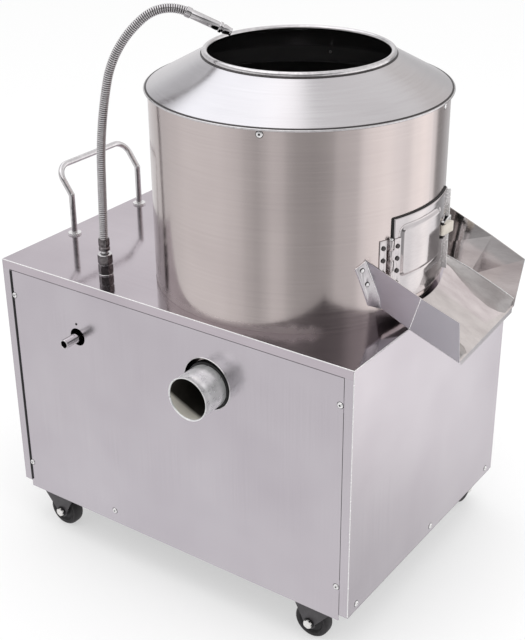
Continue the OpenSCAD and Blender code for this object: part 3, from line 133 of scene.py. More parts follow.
# How bright the room is by compass angle from +X in degrees, and how warm: what polished metal
# mirrors from the floor, level with the machine, above it and high up
FLOOR_RING = [(-180, 0.88, 0), (-136, 0.93, -0.01), (-122, 0.91, 0), (-100, 0.90, 0), (-60, 1.0, 0),
              (-40, 1.1, 0), (-15, 0.9, 0), (20, 0.78, 0), (50, 0.72, 0), (70, 0.70, 0),
              (110, 0.8, 0), (180, 0.85, 0)]
LEVEL_RING = [(-180, 0.72, 0), (-166, 0.80, 0), (-150, 0.88, 0), (-120, 0.88, 0), (-109, 0.81, 0),
              (-102, 0.75, 0), (-95, 0.61, 0), (-88, 0.53, 0), (-83, 0.60, 0), (-76, 0.74, 0),
              (-70, 0.71, 0), (-63, 0.53, 0), (-57, 0.45, 0), (-45, 0.42, 0), (-38, 0.45, 0),
              (-32, 0.51, 0), (-26, 0.68, 0), (-13, 0.74, 0), (-6, 1.03, 0), (1, 1.14, 0.01),
              (14, 1.25, 0.01), (24, 1.15, 0), (33, 1.08, 0), (42, 1.28, 0.01), (52, 1.38, 0.02),
              (66, 1.19, 0), (74, 0.34, 0), (96, 0.56, -0.01), (106, 0.58, 0), (124, 0.86, 0),
              (150, 0.80, 0), (180, 0.72, 0)]
UPPER_RING = [(-180, 0.80, 0), (-146, 0.62, 0), (-118, 0.40, 0), (-93, 0.24, 0), (-66, 0.20, 0),
              (-38, 0.12, 0), (-26, 0.16, 0), (-10, 0.45, 0), (10, 0.8, 0), (50, 1.0, 0),
              (78, 0.90, 0.01), (85, 0.80, 0.03), (93, 0.70, 0.03), (105, 0.72, 0.01),
              (119, 0.88, 0), (132, 0.90, 0), (144, 0.80, -0.01), (152, 0.62, -0.01),
              (166, 0.62, -0.01), (180, 0.74, 0)]
HIGH_RING = [(-180, 1.2, 0), (-160, 1.6, 0), (-105, 1.6, 0), (-85, 1.2, 0), (-60, 1.3, 0),
             (0, 0.9, 0), (60, 0.9, 0), (84, 0.84, 0.01), (92, 0.86, 0.01), (101, 0.78, 0),
             (109, 0.9, 0), (120, 1.25, 0), (132, 1.45, 0), (150, 1.6, 0), (159, 1.5, -0.03),
             (167, 1.5, -0.03), (180, 1.2, 0)]


def light_room():
    """A pale room: white to the eye, and to polished steel rings of soft panels and gaps."""
    world = bpy.data.worlds.new("pale_room")
    scene.world = world
    world.use_nodes = True
    tree = world.node_tree
    tree.nodes.clear()
    way = add_node(tree, "ShaderNodeTexCoord").outputs["Generated"]
    round_way = add_node(tree, "ShaderNodeTexGradient", {"Vector": way}, gradient_type="RADIAL")
    height = add_node(tree, "ShaderNodeSeparateXYZ", {"Vector": way}).outputs["Z"]
    room = None
    # Each ring takes over from the one below between two heights, each the sine of an elevation
    for ring, low, high in ((FLOOR_RING, -1, -1), (LEVEL_RING, -0.60, -0.50),
                            (UPPER_RING, 0.0, 0.36), (HIGH_RING, 0.52, 0.66)):
        stops = [((a + 180) / 360, (b * (1 + warm), b * 0.99, b * (1 - warm), 1))
                 for a, b, warm in ring]
        ramp = add_node(tree, "ShaderNodeValToRGB", {"Fac": round_way.outputs["Fac"]})
        colour = set_stops(ramp, stops, "EASE").outputs["Color"]
        if room is None:
            room = colour
            continue
        rise = add_node(tree, "ShaderNodeMapRange", {"Value": height, "From Min": low,
                                                     "From Max": high},
                        interpolation_type="SMOOTHSTEP").outputs["Result"]
        room = add_node(tree, "ShaderNodeMix", {"Factor": rise, "A": room, "B": colour},
                        data_type="RGBA").outputs["Result"]
    mirrored = add_node(tree, "ShaderNodeLightPath").outputs["Is Glossy Ray"]
    seen = add_node(tree, "ShaderNodeMix", {"Factor": mirrored, "A": (1, 1, 1, 1), "B": room},
                    data_type="RGBA").outputs["Result"]
    back = add_node(tree, "ShaderNodeBackground", {"Color": seen, "Strength": 1.0})
    add_node(tree, "ShaderNodeOutputWorld", {"Surface": back.outputs["Background"]})


def add_softbox(name, place, target, size, watts):
    """A soft lamp that steel doesn't mirror: the room's panels do that."""
    lamp = bpy.data.lights.new(name, "AREA")
    lamp.shape = "RECTANGLE"
    lamp.size, lamp.size_y = size
    lamp.energy = watts
    box = bpy.data.objects.new(name, lamp)
    scene.collection.objects.link(box)
    box.location = place
    box.rotation_euler = (Vector(target) - Vector(place)).to_track_quat("-Z", "Y").to_euler()
    box.visible_glossy = False


def lay_floor():
    """A pale floor that polished metal doesn't mirror, so that it shows the room instead."""
    mesh = bpy.data.meshes.new("floor")
    side = 30
    mesh.from_pydata([(-side, -side, 0), (side, -side, 0), (side, side, 0), (-side, side, 0)], [],
                     [(0, 1, 2, 3)])
    floor = bpy.data.objects.new("floor", mesh)
    scene.collection.objects.link(floor)
    material = bpy.data.materials.new("pale_studio_floor")
    material.use_nodes = True
    tree = material.node_tree
    tree.nodes.clear()
    matt = add_node(tree, "ShaderNodeBsdfDiffuse", {"Color": linear("F9F9F9")})
    white = add_node(tree, "ShaderNodeEmission", {"Color": linear("FDFDFD"), "Strength": 1.0})
    clear = add_node(tree, "ShaderNodeBsdfTransparent")
    ray = add_node(tree, "ShaderNodeLightPath").outputs
    # Half of what the camera sees is plain white, which leaves the shadow soft
    share = add_node(tree, "ShaderNodeMath", {0: ray["Is Camera Ray"], 1: 0.5},
                     operation="MULTIPLY")
    pale = add_node(tree, "ShaderNodeMixShader", {0: share.outputs[0], 1: matt.outputs[0],
                                                  2: white.outputs[0]})
    mix = add_node(tree, "ShaderNodeMixShader", {0: ray["Is Glossy Ray"], 1: pale.outputs[0],
                                                 2: clear.outputs[0]})
    add_node(tree, "ShaderNodeOutputMaterial", {"Surface": mix.outputs[0]})
    mesh.materials.append(material)


place_camera()
light_room()
lay_floor()
add_softbox("overhead", (0.2, -0.4, 3.2), (0.05, 0, 0.4), (2.2, 2.2), 26)
add_softbox("side", (2.6, 0.4, 1.9), (0.05, 0, 0.5), (1.2, 1.6), 9)
scene.view_settings.view_transform = "Standard"

# ---------------------------------------------------------------- materials


def shader_of(material):
    """A material's node tree and its surface shader."""
    return material.node_tree, material.node_tree.nodes["Principled BSDF"]


def new_material(name):
    """A material that holds only its surface shader, with its node tree and that shader."""
    material = bpy.data.materials.new(name)
    material.use_nodes = True
    tree = material.node_tree
    tree.nodes.clear()
    surface = add_node(tree, "ShaderNodeBsdfPrincipled")
    add_node(tree, "ShaderNodeOutputMaterial", {"Surface": surface.outputs["BSDF"]})
    return material, tree, surface


def speckle(tree, size_mm, detail=3.0, stretch=(1, 1, 1)):
    """Noise of a grain size in millimetres, drawn out along an axis by a stretch below 1."""
    where = add_node(tree, "ShaderNodeTexCoord").outputs["Object"]
    laid = add_node(tree, "ShaderNodeMapping", {
        "Vector": where, "Scale": tuple(1000 / size_mm * s for s in stretch)})
    return add_node(tree, "ShaderNodeTexNoise", {
        "Vector": laid.outputs["Vector"], "Scale": 1.0, "Detail": detail,
        "Roughness": 0.55}).outputs["Fac"]


def finish(tree, surface, shade, dark, light, grain, smooth, rough, bumps):
    """Colour from dark to light by a shade of noise, roughness by a grain, and bumps.

    The bumps lie over each other, each as its noise, strength and depth in millimetres.
    """
    # Noise seldom goes below a quarter or above three quarters
    ramp = add_node(tree, "ShaderNodeValToRGB", {"Fac": shade})
    set_stops(ramp, [(0.3, linear(dark)), (0.7, linear(light))])
    spread = add_node(tree, "ShaderNodeMapRange", {
        "Value": grain, "From Min": 0.25, "From Max": 0.75, "To Min": smooth, "To Max": rough})
    tree.links.new(ramp.outputs["Color"], surface.inputs["Base Color"])
    tree.links.new(spread.outputs["Result"], surface.inputs["Roughness"])
    for noise, strength, depth in bumps:
        inputs = {"Height": noise, "Strength": strength, "Distance": depth / 1000}
        if surface.inputs["Normal"].is_linked:
            inputs["Normal"] = surface.inputs["Normal"].links[0].from_socket
        bump = add_node(tree, "ShaderNodeBump", inputs)
        tree.links.new(bump.outputs["Normal"], surface.inputs["Normal"])


def stainless(name, dark, light, rough, grain, blotches=(160, (1, 1, 1)), waves=(),
              anisotropic=0.0, line_bump=0.05):
    """Stainless sheet: cold-rolled, then brushed or buffed. grain is the brush lines' stretch.

    The brush lines of about 0.2 mm are drawn 1.6 mm wide, so that they show. blotches have a
    width in millimetres and a stretch; waves are the sheet's own unevenness, each as its width
    in millimetres, stretch and strength.
    """
    material, tree, surface = new_material(name)
    surface.inputs["Metallic"].default_value = 1.0
    surface.inputs["Anisotropic"].default_value = anisotropic
    lines = speckle(tree, 1.6, 4.0, grain)
    patches = speckle(tree, blotches[0], 2.0, blotches[1])
    mixed = add_node(tree, "ShaderNodeMix", {"Factor": 0.3, "A": patches, "B": lines},
                     data_type="FLOAT").outputs[0]
    bumps = [(lines, line_bump, 0.03)]
    for width, stretch, strength in waves:
        bumps.append((speckle(tree, width, 1.0, stretch), strength, 1.0))
    finish(tree, surface, mixed, dark, light, lines, rough - 0.03, rough + 0.04, bumps)
    return material


def plated(name, dark, light, rough, grain_mm=6.0, bump=0.05, metallic=1.0):
    """Bright plating or a machined face on small hardware, a little uneven."""
    material, tree, surface = new_material(name)
    surface.inputs["Metallic"].default_value = metallic
    amount = speckle(tree, grain_mm)
    finish(tree, surface, amount, dark, light, amount, rough * 0.75, rough * 1.3,
           [(amount, bump, 0.1)])
    return material


def moulded(name, dark, light, rough, grain_mm, bump=0.15):
    """Plastic, rubber or paint with a fine moulded or sprayed texture."""
    material, tree, surface = new_material(name)
    surface.inputs["IOR"].default_value = 1.5
    amount = speckle(tree, grain_mm)
    broad = speckle(tree, grain_mm * 14, 2.0)
    mixed = add_node(tree, "ShaderNodeMix", {"Factor": 0.5, "A": amount, "B": broad},
                     data_type="FLOAT").outputs[0]
    finish(tree, surface, mixed, dark, light, amount, rough - 0.06, rough + 0.06,
           [(amount, bump, 0.2)])
    return material


def brush_round(material):
    """Runs the brush lines round the upright axis."""
    tree, surface = shader_of(material)
    surface.inputs["Anisotropic Rotation"].default_value = 0.25
    tangent = add_node(tree, "ShaderNodeTangent", direction_type="RADIAL", axis="Z")
    tree.links.new(tangent.outputs["Tangent"], surface.inputs["Tangent"])


def roughen(tree, surface, least):
    """Makes a surface at least as rough as an amount that varies over it."""
    now = surface.inputs["Roughness"].links[0].from_socket
    rough = add_node(tree, "ShaderNodeMath", {0: now, 1: least}, operation="MAXIMUM")
    tree.links.new(rough.outputs[0], surface.inputs["Roughness"])


def recolour(tree, surface, share, code):
    """Lays a colour over a surface's own, by a share that varies over it."""
    now = surface.inputs["Base Color"].links[0].from_socket
    mixed = add_node(tree, "ShaderNodeMix", {"Factor": share, "A": now, "B": linear(code)},
                     data_type="RGBA")
    tree.links.new(mixed.outputs["Result"], surface.inputs["Base Color"])


def grind_foot(material):
    """Above the weld at its foot the barrel is ground by hand, in a dull band."""
    tree, surface = shader_of(material)
    spot = add_node(tree, "ShaderNodeSeparateXYZ", {
        "Vector": add_node(tree, "ShaderNodeTexCoord").outputs["Object"]}).outputs
    # The band's top wanders within 22 mm, in patches of 26 mm
    ragged = add_node(tree, "ShaderNodeMath", {0: speckle(tree, 26, 5.0), 1: -0.022, 2: spot["Z"]},
                      operation="MULTIPLY_ADD").outputs[0]
    foot = CAB_H / 1000 + CASTERS_HIGH
    ground = add_node(tree, "ShaderNodeMapRange", {
        "Value": ragged, "From Min": foot - 0.005, "From Max": foot + 0.015,
        "To Min": 0.32, "To Max": 0.0}).outputs["Result"]
    # The grinder's reach ends below the chute, between 190 and 230 mm along X
    reach = add_node(tree, "ShaderNodeMapRange", {
        "Value": spot["X"], "From Min": 0.19, "From Max": 0.23,
        "To Min": 1.0, "To Max": 0.0}).outputs["Result"]
    reached = add_node(tree, "ShaderNodeMath", {0: ground, 1: reach}, operation="MULTIPLY")
    roughen(tree, surface, reached.outputs[0])


def leave_outside_matt(material):
    """Where the chute's sheet looks down it is unpolished: matt grey from the mill."""
    tree, surface = shader_of(material)
    facing = add_node(tree, "ShaderNodeSeparateXYZ", {
        "Vector": add_node(tree, "ShaderNodeNewGeometry").outputs["True Normal"]}).outputs["Z"]
    dull, grey = (add_node(tree, "ShaderNodeMapRange", {
        "Value": facing, "From Min": -0.04, "From Max": 0.04,
        "To Min": most, "To Max": 0.0}).outputs["Result"] for most in (0.46, 1.0))
    roughen(tree, surface, dull)
    recolour(tree, surface, grey, "CAC8CD")


def paint_light_in_bore(material):
    """Painted light: a pale patch low in the bore, where light falls in, wider towards the mouth
    and to one side.
    """
    tree, surface = shader_of(material)
    upward = add_node(tree, "ShaderNodeVectorMath", {
        0: add_node(tree, "ShaderNodeNewGeometry").outputs["True Normal"],
        1: (0.40, 0.0, 0.92)}, operation="DOT_PRODUCT").outputs["Value"]
    inwards = add_node(tree, "ShaderNodeSeparateXYZ", {
        "Vector": add_node(tree, "ShaderNodeTexCoord").outputs["Object"]}).outputs["Y"]
    # It narrows inwards, where each metre counts as 32 of the upward share, and ends softly
    lit_share = add_node(tree, "ShaderNodeMath", {0: inwards, 1: -32.0, 2: upward},
                     operation="MULTIPLY_ADD").outputs[0]
    share = add_node(tree, "ShaderNodeMapRange", {
        "Value": lit_share, "From Min": 9.62, "From Max": 9.86}).outputs["Result"]
    recolour(tree, surface, share, "CFCBC1")


# 304 stainless sheet, buffed along the grain: soft mirror with faint upright lines
cabinet_sheet = stainless("brushed_stainless_sheet", "C0BAC0", "CCC7CC", 0.20, (1, 1, 0.01),
                          waves=[(120, (1, 1, 1), 0.02)])
# The top is the same sheet with its grain along the cabinet
top_sheet = stainless("buffed_stainless_top", "BEB6BC", "CCC4CA", 0.10, (0.01, 1, 1),
                      waves=[(70, (1, 1, 1), 0.07)])
# The barrel's sheet is rolled and brushed round, which draws its reflections out upright
barrel_sheet = stainless(
    "rolled_stainless_barrel", "C3B9B7", "D1C7C4", 0.15, (0.01, 0.01, 1),
    waves=[(34, (1, 1, 0.03), 0.10), (11, (1, 1, 0.02), 0.02)], anisotropic=0.66, line_bump=0.012)
brush_round(barrel_sheet)
grind_foot(barrel_sheet)
# The cone is spun on a former: bright, with fine rings that spread its reflections up the slope
cone_sheet = stainless(
    "spun_stainless_cone", "C6C3C5", "D6D4D6", 0.20, (0.02, 0.02, 1),
    waves=[(60, (1, 1, 1), 0.04)], anisotropic=0.6)
brush_round(cone_sheet)
# The door and its hinge are mirror-polished, and the press left them a little wavy
polished_sheet = stainless(
    "mirror_polished_stainless", "BFBABB", "D3CFCF", 0.09, (1, 0.02, 1),
    blotches=(60, (1, 1, 1)), waves=[(55, (1, 1, 1), 0.09), (16, (1, 1, 0.3), 0.02)])
# The chute is the same sheet, polished on its inside only
chute_sheet = stainless(
    "one_side_polished_stainless", "C9C3C3", "E8E4E3", 0.09, (0.02, 1, 1),
    blotches=(26, (0.22, 1, 1)), waves=[(50, (1, 1, 1), 0.16), (18, (1, 1, 1), 0.04)])
leave_outside_matt(chute_sheet)
# Along the foot of each chute wall the sheet is darker grey, as painted shade in the crease and the
# walls' painted reflection
crease_shade_sheet = stainless("stainless_with_painted_crease_shade", "A09C9B", "C8C5C3", 0.17, (0.02, 1, 1),
                          blotches=(30, (0.3, 1, 1)), waves=[(50, (1, 1, 1), 0.1)])
# Bright nickel-chrome plating on tube and fittings
chrome = plated("chrome_plated_brass", "C9C7C8", "DEDCDD", 0.12)
# Zinc-plated and passivated fasteners, pale partly as a painted highlight; the same colour makes
# the bright lines along folds and edges painted highlights
zinc_and_highlight = plated("zinc_plated_steel_and_painted_highlight", "E4E3E3", "F4F3F3", 0.24, 3.0, 0.015, metallic=0.65)
# Nuts and ferrule, nickel-plated and tarnished dark in the wet
dark_nickel = plated("tarnished_nickel_plate", "4E494A", "8F8A8B", 0.16, 7.0)
# Rivets have gone dull and dark in the wet. The same dark colour is painted shade on the latch's
# bracket, in the hose's grooves, under the cone's lip and mouth rim and in the inlet's bore
dull_rivet_and_shade = plated("dulled_steel_and_painted_shade", "3A3838", "5A5757", 0.38, 2.0, 0.2)
# Hot-dip galvanised pipe: mottled spangle under a pale film, so that it is only partly metallic
galvanised = plated("galvanised_pipe", "D6D7D8", "F2F2F2", 0.30, 12.0, 0.03, metallic=0.6)
# Inside, the pipe is dark as painted shade, with a pale patch of painted light low down near the
# mouth
bore_shade_and_light = moulded("pipe_bore_painted_shade_and_light", "1C1A18", "37342F", 0.5, 6.0, 0.1)
paint_light_in_bore(bore_shade_and_light)
# Bearing steel, ground
ground_steel = plated("ground_steel", "A8A6A6", "C4C2C2", 0.2, 2.0)
# Cast iron, bare and machined
cast_iron = plated("cast_iron", "4A4A4C", "68686A", 0.5, 2.5, 0.5)
# Cast aluminium of the motor's case, sprayed grey-blue
motor_paint = moulded("sprayed_motor_case", "4C555F", "5D6772", 0.42, 1.2)
# Frame tube under black primer
frame_paint = moulded("primed_steel_tube", "3A3B3E", "4A4B4E", 0.5, 1.5)
# Silicon-carbide grit bonded to the lining and the disc, 1 to 2 mm
grit = moulded("bonded_carborundum", "050505", "1D1C1B", 0.75, 1.5, 0.9)
# Nitrile rubber, moulded
rubber = moulded("moulded_rubber", "0B0B0C", "1B1B1C", 0.55, 1.2)
# Caster wheels: hard rubber with a dull bloom
tread_rubber = moulded("caster_rubber", "121112", "2A282A", 0.62, 1.6, 0.3)
# Caster forks: pressed steel, black e-coat
fork_coat = moulded("e_coated_fork", "2E2C2E", "4A474A", 0.4, 2.0)
# Urea plastic of the latch, ivory
urea = moulded("moulded_ivory_urea", "BCB4A8", "DAD3C9", 0.35, 1.0, 0.1)
# ABS switch housing, black, fine spark texture
abs_black = moulded("moulded_black_abs", "17181A", "242527", 0.45, 0.8)
green_plastic = moulded("moulded_green_button", "1C7A3D", "2A9650", 0.3, 1.0, 0.05)
red_plastic = moulded("moulded_red_button", "A81A17", "C62B25", 0.3, 1.0, 0.05)
nylon = moulded("moulded_black_nylon", "151516", "232324", 0.4, 0.8)
# Nylon nuts of the casters' axles, white
white_nylon = moulded("moulded_white_nylon", "D8D6D4", "EFEDEB", 0.4, 0.8)

dressed = {
    cabinet_sheet: ["left_side_panel", "right_side_panel", "front_panel", "rear_panel"],
    top_sheet: ["top_plate"],
    barrel_sheet: ["barrel_shell", "barrel_floor"],
    cone_sheet: ["hopper_cone"],
    polished_sheet: ["door_plate", "hinge_leaf_fixed", "hinge_leaf_door"],
    chute_sheet: ["discharge_chute"],
    chrome: ["mouth_rim", "push_handle", "hose_nuts", "gooseneck_hose", "water_spout",
             "spout_collar", "water_inlet"],
    zinc_and_highlight: ["panel_screws", "hopper_screws", "hinge_pin", "latch_strap", "handle_nuts",
           "deck_bolts", "disc_nut", "caster_plates"],
    # The latch's bracket is dark as painted shade
    dull_rivet_and_shade: ["fixed_rivets", "door_rivets", "latch_bracket"],
    galvanised: ["drain_pipe"],
    ground_steel: ["spindle", "spindle_bearings", "motor_shaft"],
    cast_iron: ["bearing_housing", "spindle_pulley", "motor_pulley"],
    motor_paint: ["motor_body"],
    frame_paint: ["chassis_frame", "spindle_deck"],
    grit: ["abrasive_liner", "peeling_disc"],
    rubber: ["door_gasket", "feed_pipe", "shaft_seal", "drive_belt", "latch_keeper"],
    tread_rubber: [f"caster_wheel_{i}" for i in (1, 2, 3, 4)],
    fork_coat: [f"caster_fork_{i}" for i in (1, 2, 3, 4)],
    urea: ["latch_grip"],
    abs_black: ["switch_box"],
    green_plastic: ["start_button"],
    red_plastic: ["stop_button"],
    nylon: ["cable_gland"],
}
for material, names in dressed.items():
    for name in names:
        nodes[name].data.materials.clear()
        nodes[name].data.materials.append(material)

# ---------------------------------------------------------------- shapes


def skin(columns, n, closed=True):
    """Faces over columns of n points; closed joins the last column to the first."""
    return [(i * n + k, (i + 1) % columns * n + k, (i + 1) % columns * n + k + 1, i * n + k + 1)
            for i in range(columns if closed else columns - 1) for k in range(n - 1)]


def lathe(profile, sides=48):
    """A round shape about +Z from (radius, height) points; radius 0 closes an end."""
    points = [Vector((r * math.cos(a), r * math.sin(a), z))
              for a in (2 * math.pi * i / sides for i in range(sides)) for r, z in profile]
    return points, skin(sides, len(profile))


def hexagon(flats, low, high, bore):
    """A chamfered hexagon nut between two heights."""
    sides = 24
    crown = flats / 2 * 0.96
    points = []
    for i in range(sides):
        a = math.radians(360 / sides * i)
        corner = flats / 2 / math.cos((a + math.pi / 6) % (math.pi / 3) - math.pi / 6)
        cut = (corner - crown) * 0.6
        profile = ((bore, low), (crown, low), (corner, low + cut), (corner, high - cut),
                   (crown, high), (bore, high), (bore, low))
        points += [Vector((r * math.cos(a), r * math.sin(a), z)) for r, z in profile]
    return points, skin(sides, len(profile))


def loft(rings):
    """A closed skin over rings of points, each with as many points as the others."""
    n = len(rings[0])
    points = [p for ring in rings for p in ring]
    faces = [(i * n + k, i * n + (k + 1) % n, (i + 1) * n + (k + 1) % n, (i + 1) * n + k)
             for i in range(len(rings) - 1) for k in range(n)]
    ends = [tuple(range(n)), tuple(range(len(points) - n, len(points)))]
    return points, faces + ends


def ring_points(place, radius, sides):
    return [place @ Vector((radius * math.cos(a), radius * math.sin(a), 0))
            for a in (2 * math.pi * k / sides for k in range(sides))]


def wire(spine, radius, sides=10):
    """A round wire along points."""
    rings = []
    for i, point in enumerate(spine):
        way = spine[min(i + 1, len(spine) - 1)] - spine[max(i - 1, 0)]
        place = Matrix.Translation(point) @ way.to_track_quat("Z", "Y").to_matrix().to_4x4()
        rings.append(ring_points(place, radius, sides))
    return loft(rings)


def put(shape, place):
    return [place @ p for p in shape[0]], shape[1]


def together(*shapes):
    points, faces = [], []
    for shape in shapes:
        faces += [tuple(i + len(points) for i in face) for face in shape[1]]
        points += shape[0]
    return points, faces


def add_piece(name, shape, body, material, instead_of=(), sharp=32):
    """A piece in the stand's metres that rides on a body and may stand for CAD nodes."""
    mesh = bpy.data.meshes.new(name)
    mesh.from_pydata([tuple(p) for p in shape[0]], [], shape[1])
    tidy = bmesh.new()
    tidy.from_mesh(mesh)
    bmesh.ops.remove_doubles(tidy, verts=tidy.verts, dist=1e-6)
    bmesh.ops.recalc_face_normals(tidy, faces=tidy.faces)
    tidy.to_mesh(mesh)
    tidy.free()
    mesh.polygons.foreach_set("use_smooth", [True] * len(mesh.polygons))
    mesh.set_sharp_from_angle(angle=math.radians(sharp))
    mesh.materials.append(material)
    piece = bpy.data.objects.new(name, mesh)
    scene.collection.objects.link(piece)
    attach(piece, body)
    if instead_of:
        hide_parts(*instead_of)
    return piece


def ease_edges(node, width):
    """Rounds a sheet or block's edges, as a brake press or a mould leaves them."""
    piece = nodes[node]
    weld = piece.modifiers.new("weld", "WELD")
    weld.merge_threshold = 1e-5
    flat = piece.modifiers.new("flat", "DECIMATE")
    flat.decimate_type = "DISSOLVE"
    flat.angle_limit = math.radians(1.0)
    bevel = piece.modifiers.new("eased", "BEVEL")
    bevel.width = width / 1000
    bevel.segments = 2
    bevel.limit_method = "ANGLE"
    bevel.angle_limit = math.radians(30)
    bevel.harden_normals = True


# ---------------------------------------------------------------- hose, spout and nuts

HOSE_BASE = CABINET @ moved(HOSE_X, HOSE_Y, CAB_H) @ turned(
    math.degrees(math.atan2(BARREL_Y - HOSE_Y, BARREL_X - HOSE_X)))
# Where the hose starts over its base, its lean in degrees and the length of its straight
HOSE_START, HOSE_LEAN, HOSE_STRAIGHT = 59, 1.9, 113
HOSE_FOOT = HOSE_BASE @ moved(0, 0, HOSE_START)
# Each bend's radius and turn in degrees, from the straight to the spout
HOSE_BENDS = ((751, 10.65), (164, 39.3), (60, 64))
HOSE_L = HOSE_STRAIGHT + sum(r * math.radians(a) for r, a in HOSE_BENDS)
RIB_PITCH = 3.2
# The dark core of painted shade in the hose's grooves: its radius and rings
GROOVE_SHADE_R, GROOVE_SHADE_RINGS = 6.1, 90


def along_hose(distance):
    """The hose's place at a distance along it, with +Z along the hose."""
    place = HOSE_FOOT @ turned(HOSE_LEAN, "Y") @ moved(0, 0, min(distance, HOSE_STRAIGHT))
    left = distance - HOSE_STRAIGHT
    for radius, turn in HOSE_BENDS:
        if left <= 0:
            break
        a = min(left / radius, math.radians(turn))
        place = place @ moved(radius * (1 - math.cos(a)), 0, radius * math.sin(a))
        place = place @ turned(math.degrees(a), "Y")
        left -= radius * a
    return place


def ribbed_hose():
    """A stripwound hose's crowns, one on each turn, with the stem below them."""
    # Each point's share of a turn and its radius
    crown = [(0.0, 5.4), (0.30, 5.4), (0.36, 6.6), (0.48, 6.95), (0.82, 6.95), (0.94, 6.6)]
    turns = int(HOSE_L / RIB_PITCH)
    rings = [ring_points(along_hose((i + part) * HOSE_L / turns), radius, 24)
             for i in range(turns) for part, radius in crown]
    stem = [(4, -42), (6, -42), (6, 0), (4, 0), (4, -42)]
    return together(loft(rings), put(lathe(stem, 24), HOSE_FOOT))


add_piece("ribbed_hose", ribbed_hose(), "gooseneck", chrome, ["gooseneck_hose"], 50)
FERRULE = [(6, -18), (8.4, -18), (8.9, -17.3), (8.9, -13.2), (8.0, -12.2), (8.0, -10.4),
           (8.9, -9.6), (8.9, 0.4), (8.5, 1.6), (7.4, 2.6), (6, 2.6), (6, -18)]
add_piece("hose_ferrule", put(lathe(FERRULE), HOSE_FOOT), "gooseneck", dark_nickel)
# A dark core between the turns shows in the grooves as painted shade
groove_shade = loft([ring_points(along_hose(HOSE_L * i / GROOVE_SHADE_RINGS), GROOVE_SHADE_R, 24)
             for i in range(GROOVE_SHADE_RINGS + 1)])
add_piece("hose_groove_shade", groove_shade, "gooseneck", dull_rivet_and_shade)

SPOUT_TUBE = [(4, 0), (6.4, 0), (6.9, 0.8), (6.9, 47), (6.3, 48.4), (6.3, 50), (4, 50), (4, 0)]
SPOUT_TIP = [(4, 56), (6.3, 56), (7.1, 56.6), (7.3, 57.8), (5.5, 66.4), (5.9, 67.4), (5.9, 68.6),
             (5.4, 69), (4.3, 69), (4.0, 68.4), (4, 56)]
add_piece("rigid_spout", put(together(lathe(SPOUT_TUBE), lathe(SPOUT_TIP)), along_hose(HOSE_L)),
          "gooseneck", chrome, ["water_spout"])
SPOUT_RINGS = [(4.2, 49.6), (7.4, 49.6), (8.0, 50.4), (8.0, 53.4), (7.4, 54.2), (6.1, 54.6),
               (6.1, 56.4), (4.2, 56.4), (4.2, 49.6)]
HOSE_SLEEVE = [(6.9, -3), (7.4, -3), (7.9, -2.4), (7.9, 4.4), (7.4, 5), (6.9, 5), (6.9, -3)]
add_piece("spout_rings", put(together(lathe(SPOUT_RINGS), lathe(HOSE_SLEEVE)), along_hose(HOSE_L)),
          "gooseneck", chrome, ["spout_collar"])

WASHER = [(8, 0), (11.4, 0), (11.9, 0.4), (11.9, 1.6), (11.4, 2), (8, 2), (8, 0)]
MIDDLE_RING = [(7, 17), (10.3, 17), (10.3, 18.2), (7, 18.2), (7, 17)]
TOP_RING = [(7, 33.4), (10.8, 33.4), (11.2, 33.8), (11.2, 34.5), (10.8, 34.9), (7, 34.9), (7, 33.4)]
STEM = [(4, -14), (8, -14), (8, 0), (4, 0), (4, -14)]
# How far the nuts' flats are turned, in degrees
NUT_TURN = 26
base_nuts = together(hexagon(20.6, 2, 17, 7), hexagon(20.6, 18.2, 33.4, 7), lathe(STEM),
                     hexagon(22, -7.5, -1.5, 8))
add_piece("hose_base_nuts", put(base_nuts, HOSE_BASE @ turned(NUT_TURN)), "stand", dark_nickel,
          ["hose_nuts"])
add_piece("hose_base_rings", put(together(lathe(WASHER), lathe(MIDDLE_RING), lathe(TOP_RING)),
                                 HOSE_BASE), "stand", chrome)

# ---------------------------------------------------------------- barrel, cone and drain

# The cone's lip is rolled over a wire. Dark rings beside and under the bead and under the mouth rim
# are painted shade
CONE_HEM = [(LIP_R - 0.2 + 1.5 * math.cos(a), LIP_Z + 0.6 + 1.5 * math.sin(a))
            for a in (math.radians(30 * i) for i in range(13))]
add_piece("cone_hem", put(lathe(CONE_HEM, 180), BARREL), "stand", chrome)
SHADOW_RINGS = ([(229.1, 728.0), (229.0, 729.4), (226.6, 730.6), (226.4, 729.6), (229.1, 728.0)],
         [(225.1, 727.0), (228.8, 727.0), (228.4, 725.6), (225.1, 725.0), (225.1, 727.0)],
         [(142.9, 774.9), (143.3, 776.6), (145.3, 775.4), (145.3, 774.4), (142.9, 774.9)])
shadow_rings = together(*(lathe(shadow_ring, 180) for shadow_ring in SHADOW_RINGS))
add_piece("lip_and_rim_shadow_rings", put(shadow_rings, BARREL), "stand", dull_rivet_and_shade)
FACING_OUT = CABINET @ turned(90, "X")
DRAIN = FACING_OUT @ moved(DRAIN_X, DRAIN_Z, 0)
INLET = FACING_OUT @ moved(INLET_X, INLET_Z, 0)
# The pipe is necked in behind its flared mouth
DRAIN_WALL = [(33, -14), (34.5, -14), (34.5, 0), (35, 0), (35, 31), (34.8, 34), (34.0, 37.5),
              (33.8, 39.5), (34.0, 41.5), (34.8, 44.5), (35.4, 46.8), (35.3, 47.7), (34.7, 48),
              (33.7, 47.6), (33, 46.6), (33, 46), (33.6, 46), (33.6, -14), (33, -14)]
DRAIN_BORE = [(32.9, 46), (33.5, 46), (33.5, -13.9), (32.9, -13.9), (32.9, 46)]
add_piece("galvanised_drain", put(lathe(DRAIN_WALL, 96), DRAIN), "stand", galvanised,
          ["drain_pipe"])
# The bore's dark is painted shade
add_piece("drain_bore", put(lathe(DRAIN_BORE, 96), DRAIN), "stand", bore_shade_and_light)
